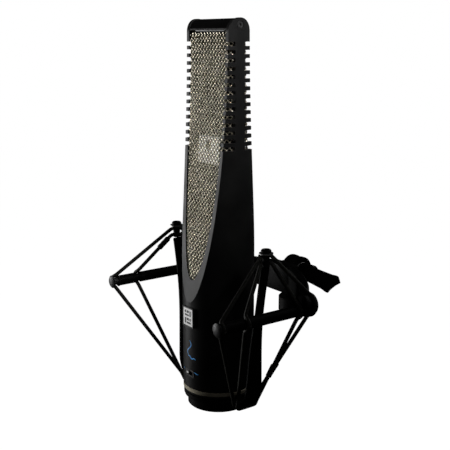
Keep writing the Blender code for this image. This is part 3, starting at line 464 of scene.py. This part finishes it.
def make_materials():
    made = {
        "satin_black": painted("satin_black", 0.010, 0.016, 0.10, 0.40, 3200.0, 0.50, 0.12),
        "mount_black": painted("mount_black", 0.003, 0.005, 0.03, 0.46, 2400.0, 0.40, 0.06),
        "black_plastic": moulded("black_plastic", grey(0.008), grey(0.016), 0.42),
        "wire": wire_metal(),
        "champagne": turned_metal(
            "champagne", (0.44, 0.40, 0.29, 1.0), (0.56, 0.51, 0.39, 1.0), 0.46, 0.00022, 0.35
        ),
        "bright_metal": turned_metal(
            "bright_metal", (0.30, 0.30, 0.295, 1.0), (0.44, 0.44, 0.43, 1.0), 0.42, 0.00018, 0.9
        ),
        # A darker copy of the satin paint for the head bar: painted shade.
        "bar_shaded_black": painted("bar_shaded_black", 0.004, 0.006, 0.03, 0.36, 3200.0, 0.40, 0.05),
        "cap_metal": turned_metal("cap_metal", grey(0.010), grey(0.020), 0.50, 0.00018, 0.3),
        "dark_metal": brushed_metal(
            "dark_metal", grey(0.055), grey(0.10), 0.40, (900.0, 900.0, 120.0), 0.85
        ),
        "brass": turned_metal("brass", (0.62, 0.43, 0.17, 1.0), (0.76, 0.56, 0.27, 1.0), 0.32, 0.00025),
        "elastic": elastic_cord(),
        "rubber": rubber_like("rubber", grey(0.012), grey(0.035), 0.72, 900.0),
        "board": moulded("board", (0.012, 0.10, 0.045, 1.0), (0.020, 0.16, 0.07, 1.0), 0.5),
        "magnet": brushed_metal("magnet", grey(0.30), grey(0.42), 0.33, (160.0, 160.0, 1500.0)),
        "ribbon": brushed_metal(
            "ribbon", (0.78, 0.79, 0.80, 1.0), (0.90, 0.90, 0.90, 1.0), 0.22, (80.0, 80.0, 2400.0)
        ),
        # The label glows a little though it is no lamp: painted light. The switch's dot wears it too.
        "label": moulded("label", grey(0.70), grey(0.82, (1.0, 0.995, 0.98)), 0.34, 0.25),
        # The plate behind the weave glows: painted light standing for the light its metal would reflect.
        "motor_bright": moulded("motor_bright", grey(0.80), grey(0.92, (1.0, 0.98, 0.92)), 0.40, 0.42),
        # Near-black sheet inside the basket: painted shade.
        "shade_lining": rubber_like("shade_lining", grey(0.003), grey(0.010), 0.80, 2600.0),
        "ink_black": moulded("ink_black", grey(0.006), grey(0.014), 0.45),
        # The blue ink glows a little though it is no lamp: painted light.
        "ink_blue": moulded("ink_blue", (0.05, 0.30, 0.80, 1.0), (0.13, 0.48, 0.95, 1.0), 0.38, 0.16),
    }
    return made


MATERIALS = {}

# Nodes that look a little different from the rest of their slot. The head bar's paint is a darker copy of
# the tube's: painted shade.
OTHER_LOOKS = {"head_bar": "bar_shaded_black", "rod_cap_left": "cap_metal", "rod_cap_right": "cap_metal"}


def wear(obj, look):
    """The look as the object's only material."""
    obj.data.materials.clear()
    obj.data.materials.append(MATERIALS[look])


def dress_cad_nodes():
    """Every carried-over node gets its look, and shading that is smooth up to 35 degrees."""
    for entry in frame["record"]["subparts"]:
        node = NODES[entry["node"]]
        wear(node, OTHER_LOOKS.get(entry["node"], entry["material_slot"]))
        carried = node.data.attributes.get("custom_normal")
        if carried:
            node.data.attributes.remove(carried)
        node.data.polygons.foreach_set("use_smooth", [True] * len(node.data.polygons))
        weld = node.modifiers.new("weld", "WELD")
        weld.merge_threshold = 0.000003
        split = node.modifiers.new("split", "EDGE_SPLIT")
        split.split_angle = math.radians(35.0)
        split.use_edge_sharp = False


# ---------------------------------------------------------------- mesh helpers


def new_piece(name, mesh, look, body=None):
    obj = bpy.data.objects.new(name, mesh)
    bpy.context.scene.collection.objects.link(obj)
    wear(obj, look)
    if body:
        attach(obj, body)
    return obj


def mesh_from(data, name):
    """The bmesh as a mesh; the bmesh is freed."""
    mesh = bpy.data.meshes.new(name)
    data.to_mesh(mesh)
    data.free()
    return mesh


def smooth(mesh):
    mesh.polygons.foreach_set("use_smooth", [True] * len(mesh.polygons))
    mesh.update()
    return mesh


def close_rings(data, rings):
    """Faces between rings of points, one after another, and a cap on both ends."""
    for low, high in zip(rings, rings[1:]):
        for index in range(len(low)):
            after = (index + 1) % len(low)
            data.faces.new((low[index], low[after], high[after], high[index]))
    data.faces.new(rings[0][::-1])
    data.faces.new(rings[-1])


def frames_along(points, first_side):
    """A side vector at each point, carried along the path without twisting."""
    sides = []
    side = first_side
    for index in range(len(points)):
        before = points[max(index - 1, 0)]
        after = points[min(index + 1, len(points) - 1)]
        tangent = (after - before).normalized()
        side = (side - tangent * side.dot(tangent)).normalized()
        sides.append((tangent, side))
    return sides


def add_tube(data, points, radius, sides, first_side, lifts=None, outs=None):
    """Adds a capped tube to a bmesh, with its length and turn in the UV layer "cord"."""
    uv = data.loops.layers.uv.get("cord") or data.loops.layers.uv.new("cord")
    lift = data.verts.layers.float.get("lift") or data.verts.layers.float.new("lift")
    rings, lengths, length = [], [], 0.0
    for index, (tangent, side) in enumerate(frames_along(points, first_side)):
        other = tangent.cross(side)
        ring = []
        for step in range(sides):
            angle = 2 * math.pi * step / sides
            spoke = side * math.cos(angle) + other * math.sin(angle)
            vert = data.verts.new(points[index] + radius * spoke)
            # lift is the mask for the wire's painted shade: how high the point rides in the weave, 0 on the
            # inward side, 1 where no lifts are given.
            vert[lift] = 1.0 if lifts is None else lifts[index] * (spoke.dot(outs[index]) > -0.2)
            ring.append(vert)
        rings.append(ring)
        if index:
            length += (points[index] - points[index - 1]).length
        lengths.append(length)
    for row in range(len(rings) - 1):
        for step in range(sides):
            after = (step + 1) % sides
            corners = (rings[row][step], rings[row][after], rings[row + 1][after], rings[row + 1][step])
            face = data.faces.new(corners)
            places = (
                (lengths[row], step / sides),
                (lengths[row], (step + 1) / sides),
                (lengths[row + 1], (step + 1) / sides),
                (lengths[row + 1], step / sides),
            )
            for loop, spot in zip(face.loops, places):
                loop[uv].uv = spot
    data.faces.new(rings[0][::-1])
    data.faces.new(rings[-1])


# ---------------------------------------------------------------- tube


def scoop_depth(z):
    """How far in front of the axis the scooped face lies, at a height counted from MIC."""
    below = SCOOP_ARC_Z - z
    return SCOOP_LEAST_DEPTH + SCOOP_ARC_RADIUS - math.sqrt(SCOOP_ARC_RADIUS**2 - below**2)


def upright_cylinder(radius, low, high, steps=BODY_STEPS):
    data = bmesh.new()
    bmesh.ops.create_cone(
        data, cap_ends=True, segments=steps, radius1=radius, radius2=radius, depth=high - low
    )
    bmesh.ops.translate(data, verts=data.verts, vec=MIC + Vector((0.0, 0.0, (low + high) / 2)))
    return data


def box_in(data, low, high):
    size = [b - a for a, b in zip(low, high)]
    centre = MIC + (Vector(low) + Vector(high)) / 2
    bmesh.ops.create_cube(data, size=1.0, matrix=Matrix.Translation(centre) @ Matrix.Diagonal((*size, 1.0)))


def side_blank(top_steps=48, scoop_steps=110):
    """The tube's side view, pushed through from side to side."""
    span = CHEEK_AXIS_Z - SCOOP_START_Z
    right = []
    for step in range(scoop_steps + 1):
        z = SCOOP_START_Z + span * step / scoop_steps
        right.append((scoop_depth(z), z))
    top_radius = scoop_depth(CHEEK_AXIS_Z)
    top = []
    for step in range(1, top_steps):
        angle = math.pi * step / top_steps
        top.append((top_radius * math.cos(angle), CHEEK_AXIS_Z + top_radius * math.sin(angle)))
    left = [(-y, z) for y, z in reversed(right)]
    wide, floor = BODY_RADIUS + 0.004, BODY_BOTTOM - 0.01
    outline = [(-wide, floor), (wide, floor), (wide, SCOOP_START_Z)] + right + top + left
    outline.append((-wide, SCOOP_START_Z))
    data = bmesh.new()
    ends = []
    for x in (-0.04, 0.04):
        ends.append([data.verts.new(MIC + Vector((x, y, z))) for y, z in outline])
    for index in range(len(outline)):
        after = (index + 1) % len(outline)
        data.faces.new((ends[0][index], ends[0][after], ends[1][after], ends[1][index]))
    data.faces.new(ends[0][::-1])
    data.faces.new(ends[1])
    bmesh.ops.recalc_face_normals(data, faces=data.faces)
    return data


def slot_cutters():
    """All the slots, the screws' bore and the switch's window as one mesh of separate solids."""
    data = bmesh.new()
    inner, outer = BODY_RADIUS - BODY_WALL - 0.006, BODY_RADIUS + 0.004
    for index in range(SLOT_COUNT):
        z = SLOT_TOP_Z - SLOT_PITCH * index
        for side in (-1, 1):
            for edge in (-1, 1):
                xs = sorted((side * inner, side * outer))
                ys = sorted((edge * SPINE_HALF_WIDTH, edge * 0.0200))
                low = (xs[0], ys[0], z - SLOT_HEIGHT / 2)
                high = (xs[1], ys[1], z + SLOT_HEIGHT / 2)
                box_in(data, low, high)
    box_in(data, (-0.0062, -0.04, 0.0118), (0.0062, -0.02, 0.0182))
    turn = Matrix.Rotation(math.pi / 2, 4, "Y")
    place = Matrix.Translation(MIC + Vector((0.0, 0.0, HEAD_SCREW_Z)))
    bmesh.ops.create_cone(
        data,
        cap_ends=True,
        segments=40,
        radius1=HEAD_SCREW_BORE,
        radius2=HEAD_SCREW_BORE,
        depth=0.08,
        matrix=place @ turn,
    )
    return data


def temporary(data, name):
    mesh = mesh_from(data, name)
    obj = bpy.data.objects.new(name, mesh)
    bpy.context.scene.collection.objects.link(obj)
    return obj


def carved(blank, steps):
    """The mesh left when each (operation, cutter) has been applied to the blank in turn."""
    for operation, cutter in steps:
        change = blank.modifiers.new(operation, "BOOLEAN")
        change.operation = operation
        change.solver = "EXACT"
        change.object = cutter
    bpy.context.view_layer.update()
    mesh = bpy.data.meshes.new_from_object(blank.evaluated_get(bpy.context.evaluated_depsgraph_get()))
    for obj in [blank] + [cutter for _, cutter in steps]:
        bpy.data.objects.remove(obj)
    return mesh


def true_normal(face, spot):
    """The curved surface's own normal at a corner of one of its flat faces."""
    normal, centre = face.normal, face.center - MIC
    out = Vector((centre.x, centre.y, 0.0)).normalized()
    here = Vector((spot.x, spot.y, 0.0)).normalized()
    if normal.dot(out) > 0.995:
        return here
    if normal.dot(out) < -0.995:
        return -here
    if centre.z > CHEEK_AXIS_Z:
        over = Vector((0.0, centre.y, centre.z - CHEEK_AXIS_Z)).normalized()
        if normal.dot(over) > 0.995:
            return Vector((0.0, spot.y, spot.z - CHEEK_AXIS_Z)).normalized()
    elif centre.z > SCOOP_START_Z + 0.0005:
        side = -1.0 if normal.y < 0 else 1.0
        axis_y = side * (SCOOP_LEAST_DEPTH + SCOOP_ARC_RADIUS)
        towards = Vector((0.0, axis_y - centre.y, SCOOP_ARC_Z - centre.z)).normalized()
        if normal.dot(towards) > 0.9995:
            return Vector((0.0, axis_y - spot.y, SCOOP_ARC_Z - spot.z)).normalized()
    return normal


def make_body():
    """The tube, cut as in the CAD but with finer steps and each surface's own normals."""
    top = CHEEK_AXIS_Z + 0.02
    blank = temporary(upright_cylinder(BODY_RADIUS, BODY_BOTTOM, top), "body_tube")
    bore = upright_cylinder(BODY_RADIUS - BODY_WALL, BODY_BOTTOM - 0.01, top + 0.01)
    steps = [
        ("DIFFERENCE", temporary(bore, "body_bore")),
        ("INTERSECT", temporary(side_blank(), "body_side")),
        ("DIFFERENCE", temporary(slot_cutters(), "body_slots")),
    ]
    mesh = smooth(carved(blank, steps))
    normals = []
    for face in mesh.polygons:
        normals += [true_normal(face, mesh.vertices[index].co - MIC) for index in face.vertices]
    mesh.normals_split_custom_set(normals)
    mesh.name = "tube_body"
    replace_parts(new_piece("tube_body", mesh, "satin_black", "microphone"), "body_shell")


# ---------------------------------------------------------------- woven basket


def basket_section(z, steps=240):
    """One level of the basket: points round it and the running length at each, from the front middle."""
    top = BASKET_HIGH.z - MIC.z
    roll = 0.0046
    side, pinch = BASKET_RADIUS, 1.0
    if z > top - roll:
        into = (z - (top - roll)) / roll
        side -= 0.0046 * into**2
        pinch = 1.0 - 0.12 * into**2
    depth = (scoop_depth(z) - BASKET_RECESS) * pinch
    points, lengths, length = [], [], 0.0
    for step in range(steps + 1):
        angle = 2 * math.pi * step / steps - math.pi / 2
        flat = abs(math.sin(angle)) / depth
        reach = ((1 / side) ** BASKET_SQUARENESS + flat**BASKET_SQUARENESS) ** (-1 / BASKET_SQUARENESS)
        point = Vector((reach * math.cos(angle), reach * math.sin(angle), z))
        if points:
            length += (point - points[-1]).length
        points.append(point)
        lengths.append(length)
    return points, lengths


def place_on(section, wanted):
    """The point on a level at a running length, and the way out of the basket there."""
    points, lengths = section
    wanted = wanted % lengths[-1]
    low, high = 0, len(lengths) - 1
    while high - low > 1:
        half = (low + high) // 2
        if lengths[half] <= wanted:
            low = half
        else:
            high = half
    share = (wanted - lengths[low]) / max(lengths[high] - lengths[low], 1e-9)
    point = points[low].lerp(points[high], share)
    along = (points[high] - points[low]).normalized()
    return point, Vector((along.y, -along.x, 0.0))


def running_length(turn, total):
    """Where a wire at a turn (0 to 1) lies: even over the flat faces, the rest at the ends."""
    flat_half = 0.0225
    nominal = WEAVE_WIDTH * WEAVE_COUNT
    spot = (turn % 1.0) * nominal
    flip = spot > nominal / 2
    local = spot - nominal / 2 if flip else spot
    stretch = (total / 2 - 2 * flat_half) / (nominal / 2 - 2 * flat_half)
    if local < flat_half:
        out = local
    elif local > nominal / 2 - flat_half:
        out = total / 2 - (nominal / 2 - local)
    else:
        out = flat_half + (local - flat_half) * stretch
    return out + (total / 2 if flip else 0.0)


def make_basket():
    """Two families of wires woven over one and under one, a dark sheet inside that paints the shade within
    the basket, and the top plate.
    """
    bottom, top = BASKET_LOW.z - MIC.z, BASKET_HIGH.z - MIC.z
    step_z = WEAVE_HEIGHT / 8
    count = int((top - WIRE_RADIUS - bottom) / step_z)
    sections = [basket_section(bottom + step_z * index) for index in range(count + 1)]
    data = bmesh.new()
    for lean in (1, -1):
        for wire in range(WEAVE_COUNT):
            points, lifts, outs = [], [], []
            for index, section in enumerate(sections):
                rounds = index * step_z / WEAVE_HEIGHT
                turn = (wire + lean * rounds) / WEAVE_COUNT
                point, outward = place_on(section, running_length(turn, section[1][-1]))
                rise = lean * math.cos(2 * math.pi * rounds)
                points.append(MIC + point + outward * (WIRE_RADIUS * (0.95 * rise - 1.95)))
                # lifts: the mask of the weave's painted shade, low where the wire passes under the other
                # family.
                lifts.append(0.5 + 0.5 * rise)
                outs.append(outward)
            add_tube(data, points, WIRE_RADIUS, WIRE_SIDES, Vector((0.3, 0.1, 1.0)), lifts, outs)
    mesh = mesh_from(data, "woven_basket")
    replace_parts(new_piece("woven_basket", smooth(mesh), "wire", "microphone"), "grille_basket")

    # A near-black sheet inside the weave: painted shade, so that the holes read dark.
    data = bmesh.new()
    rings = []
    for row in range(SHADE_LINING_ROWS + 1):
        z = bottom + (top - LID_SINK - bottom) * row / SHADE_LINING_ROWS
        section = basket_section(z)
        ring = []
        for step in range(SHADE_LINING_SIDES):
            point, outward = place_on(section, section[1][-1] * step / SHADE_LINING_SIDES)
            ring.append(data.verts.new(MIC + point - outward * SHADE_LINING_DEPTH))
        rings.append(ring)
    close_rings(data, rings)
    mesh = mesh_from(data, "basket_shade_lining")
    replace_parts(new_piece("basket_shade_lining", smooth(mesh), "shade_lining", "microphone"), "grille_basket")

    data = bmesh.new()
    rim, _ = basket_section(top - LID_SINK, 96)
    rings = []
    for z in (top - 0.0010, top + 0.00025):
        rings.append([data.verts.new(MIC + Vector((0.93 * p.x, 0.86 * p.y, z))) for p in rim[:-1]])
    close_rings(data, rings)
    mesh = mesh_from(data, "basket_lid")
    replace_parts(new_piece("basket_lid", mesh, "dark_metal", "microphone"), "grille_basket")


def make_motor_face(columns=24, rows=36):
    """A pale plate with a round opening behind the weave.

    It was fitted to the photograph's bright patch and is a guess: it doesn't follow the CAD's motor
    frame, and its glow stands in for light that the real metal would reflect.
    """
    data = bmesh.new()
    span = MOTOR_FACE_HIGH_Z - MOTOR_FACE_LOW_Z
    low, left, width = MOTOR_FACE_LOW_Z, -MOTOR_FACE_HALF_WIDTH, 2 * MOTOR_FACE_HALF_WIDTH
    grid = []
    for row in range(rows + 1):
        section = basket_section(low + span * row / rows)
        line = []
        for column in range(columns + 1):
            point, outward = place_on(section, left + width * column / columns)
            line.append(data.verts.new(MIC + point - outward * MOTOR_FACE_DEPTH))
        grid.append(line)
    for below, above in zip(grid, grid[1:]):
        for column in range(columns):
            corners = (below[column], below[column + 1], above[column + 1], above[column])
            centre = sum((v.co for v in corners), Vector()) / 4 - MIC
            if math.hypot(centre.x, centre.z - MOTOR_FACE_HOLE_Z) > MOTOR_FACE_HOLE_RADIUS:
                data.faces.new(corners)
    loose = [v for v in data.verts if not v.link_faces]
    bmesh.ops.delete(data, geom=loose, context="VERTS")
    bmesh.ops.solidify(data, geom=data.faces[:], thickness=-MOTOR_FACE_THICKNESS)
    bmesh.ops.recalc_face_normals(data, faces=data.faces)
    mesh = mesh_from(data, "motor_face")
    new_piece("motor_face", mesh, "motor_bright", "microphone")


def light_weave():
    """Two lamps that light only the weave and the plate behind it, and leave the black paint dark."""
    weave_only = bpy.data.collections.new("weave_only")
    weave_only.objects.link(bpy.data.objects["woven_basket"])
    weave_only.objects.link(bpy.data.objects["motor_face"])
    lamps = [
        area_light("weave_key", (-0.62, -1.07, 0.28), (0.0, 0.0, 0.18), (0.3, 0.5), 5.0),
        area_light("weave_side", (1.1, -0.3, 0.6), (0.0, 0.0, 0.2), (0.5, 0.5), 3.0),
    ]
    for lamp in lamps:
        lamp.light_linking.receiver_collection = weave_only


# ---------------------------------------------------------------- elastic bands


def half_ring(centre, radius, towards, side, steps=12):
    points = []
    for step in range(steps + 1):
        angle = math.pi * (step / steps - 0.5)
        points.append(centre + radius * (math.sin(angle) * towards + math.cos(angle) * side))
    return points


def foot_corner(x, side, steps=6):
    points = []
    for step in range(steps + 1):
        angle = 0.5 * math.pi * step / steps
        y = side * (FOOT_HALF_WIDTH + BAND_CLEAR * math.cos(angle))
        z = FOOT_Z - ARM_THICKNESS / 2 - BAND_CLEAR * math.sin(angle)
        points.append(Vector((x, y, z)))
    return points


def spaced(points, step=0.0016):
    """The path with points added so that no stretch is longer than step."""
    path = [points[0]]
    for point in points[1:]:
        count = max(1, math.ceil((point - path[-1]).length / step))
        start = path[-1]
        path += [start.lerp(point, index / count) for index in range(1, count + 1)]
    return path


def eased(points, rounds=3):
    """Softens a path's corners a little; the ends stay."""
    for _ in range(rounds):
        inner = [
            (before + 2 * here + after) / 4 for before, here, after in zip(points, points[1:], points[2:])
        ]
        points = [points[0], *inner, points[-1]]
    return points


def make_bands():
    up, forward = Vector((0.0, 0.0, 1.0)), Vector((0.0, -1.0, 0.0))
    kinds = (
        ("outer", OUTER_FRONT_Y, CAP_NECK_RADIUS, OUTER_BACK_Y, BOSS_Z, BOSS_NECK_RADIUS, 0.0036, -0.0016),
        ("inner", INNER_FRONT_Y, GROOVE_RADIUS, INNER_BACK_Y, ROD.z, GROOVE_RADIUS, -0.0018, 0.0026),
    )
    for side_name, sign in (("left", -1), ("right", 1)):
        out = Vector((sign, 0.0, 0.0))
        for kind, front_y, front_r, back_y, back_z, back_r, hook_rise, foot_shift in kinds:
            hook = Vector((sign * HOOK.x, 0.0, HOOK_TOP_Z + hook_rise))
            front = Vector((sign * ROD.x, front_y, ROD.z))
            back = Vector((sign * ROD.x, back_y, back_z))
            foot_x = sign * (FOOT_X + foot_shift)
            front_ring = half_ring(front, front_r + BAND_CLEAR, up, out)
            back_ring = half_ring(back, back_r + BAND_CLEAR, up, out)
            half = len(front_ring) // 2
            over = front_ring[half:] + half_ring(hook, 0.0030 + BAND_CLEAR, forward, -out)[::-1]
            over += back_ring[half:][::-1]
            under = front_ring[: half + 1][::-1] + foot_corner(foot_x, -1.0)
            under += foot_corner(foot_x, 1.0)[::-1] + back_ring[: half + 1]
            for part, path, far_x in (("upper", over, sign * HOOK.x), ("lower", under, foot_x)):
                points = eased([MIC + point for point in spaced(path)])
                data = bmesh.new()
                add_tube(data, points, BAND_RADIUS, 14, out)
                name = f"band_{kind}_{part}_{side_name}"
                mesh = mesh_from(data, name)
                piece = new_piece(name, smooth(mesh), "elastic")
                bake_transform(piece)
                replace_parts(piece, f"band_{kind}_{side_name}")
                if (kind, part, side_name) in SLEEVES:
                    make_sleeve(name, sign, points, SLEEVES[kind, part, side_name])


def make_sleeve(band, sign, points, share):
    """The crimped sleeve that joins a band's ends, at a share of the band's path."""
    middle_index = int(len(points) * share)
    centre = points[middle_index]
    run = (points[middle_index + 2] - points[middle_index - 2]).normalized()
    length, thick = 0.0120, 0.0024
    profile = ((-0.5, 0.86), (-0.46, 1.0), (-0.22, 1.0), (-0.16, 0.92), (-0.10, 1.0))
    profile += tuple((-along, width) for along, width in profile[::-1])
    data = bmesh.new()
    side = Vector((sign, 0.0, 0.0))
    side = (side - run * side.dot(run)).normalized()
    other = run.cross(side)
    steps = 24
    rings = []
    for along, width in profile:
        ring = []
        for step in range(steps):
            angle = 2 * math.pi * step / steps
            spoke = side * math.cos(angle) + other * math.sin(angle)
            ring.append(data.verts.new(centre + run * (along * length) + spoke * (thick * width)))
        rings.append(ring)
    close_rings(data, rings)
    name = f"sleeve_of_{band}"
    mesh = mesh_from(data, name)
    piece = new_piece(name, smooth(mesh), "rubber")
    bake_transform(piece)


# ---------------------------------------------------------------- prints


def on_tube(x, z, lift):
    """A point on the tube's front, lifted off it."""
    radius = BODY_RADIUS + lift
    return MIC + Vector((x, -math.sqrt(radius**2 - x**2), z))


def make_strokes(name, strokes, look, lift=0.00002, thick=0.00006):
    """Thin raised ink lines on the tube. Each stroke is a list of (x, z, half width)."""
    data = bmesh.new()
    for stroke in strokes:
        rows = []
        for index, (x, z, half) in enumerate(stroke):
            before = stroke[max(index - 1, 0)]
            after = stroke[min(index + 1, len(stroke) - 1)]
            run = Vector((after[0] - before[0], after[1] - before[1])).normalized()
            across = Vector((-run.y, run.x)) * half
            row = []
            for side, height in ((-1, 0.0), (1, 0.0), (1, thick), (-1, thick)):
                spot = on_tube(x + side * across.x, z + side * across.y, lift + height)
                row.append(data.verts.new(spot))
            rows.append(row)
        close_rings(data, rows)
    bmesh.ops.recalc_face_normals(data, faces=data.faces)
    mesh = mesh_from(data, name)
    return new_piece(name, mesh, look, "microphone")


def wave_stroke(start, end, swing, turns, half, steps=28):
    """A stroke from start to end that swings from side to side and thins out at both ends."""
    start, end = Vector(start), Vector(end)
    run = end - start
    across = Vector((-run.y, run.x)).normalized()
    stroke = []
    for step in range(steps + 1):
        share = step / steps
        spot = start + run * share + across * (swing * math.sin(2 * math.pi * turns * share))
        width = half * (0.45 + 0.55 * math.sin(math.pi * share))
        stroke.append((spot.x, spot.y, width))
    return stroke


def make_prints():
    """A plain blue wave mark, two blue dashes by the switch, bars on the badge, and the switch's dot."""
    waves = [
        wave_stroke((0.0010, 0.0440), (-0.0004, 0.0300), 0.0022, 1.0, 0.00042),
        wave_stroke((-0.0010, 0.0300), (0.0078, 0.0282), 0.0007, 1.5, 0.00052),
    ]
    make_strokes("wave_mark", waves, "ink_blue")
    dashes = [
        wave_stroke((-0.0106, 0.0166), (-0.0088, 0.0164), 0.0002, 1.0, 0.00030, 8),
        wave_stroke((0.0056, 0.0168), (0.0104, 0.0162), 0.0003, 1.0, 0.00034, 12),
    ]
    make_strokes("switch_dashes", dashes, "ink_blue")

    low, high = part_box("badge_plate")
    data = bmesh.new()
    wide, tall = high.x - low.x, high.z - low.z
    # Left, bottom, right and top of each bar, as shares of the plate.
    bars = (
        (0.16, 0.12, 0.30, 0.44), (0.38, 0.12, 0.84, 0.22),
        (0.38, 0.30, 0.62, 0.44), (0.70, 0.30, 0.84, 0.44),
        (0.16, 0.56, 0.62, 0.66), (0.70, 0.56, 0.84, 0.88),
        (0.16, 0.74, 0.30, 0.88), (0.38, 0.74, 0.62, 0.88),
    )
    for x0, z0, x1, z1 in bars:
        low_corner = Vector((low.x + wide * x0, low.y - 0.00008, low.z + tall * z0)) - MIC
        high_corner = Vector((low.x + wide * x1, low.y - 0.00002, low.z + tall * z1)) - MIC
        box_in(data, low_corner, high_corner)
    mesh = mesh_from(data, "badge_bars")
    new_piece("badge_bars", mesh, "ink_black", "microphone")

    low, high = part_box("filter_switch")
    data = bmesh.new()
    middle_x, middle_z = (low.x + high.x) / 2, (low.z + high.z) / 2
    corner = Vector((middle_x - 0.0012, low.y - 0.00012, middle_z - 0.0006)) - MIC
    far = Vector((middle_x + 0.0012, low.y + 0.00010, middle_z + 0.0006)) - MIC
    box_in(data, corner, far)
    mesh = mesh_from(data, "switch_dot")
    # The dot wears the label's glow: painted light.
    new_piece("switch_dot", mesh, "label", "filter_switch")


make_camera()
make_stage()
MATERIALS.update(make_materials())
dress_cad_nodes()
make_body()
make_basket()
make_motor_face()
light_weave()
make_bands()
make_prints()
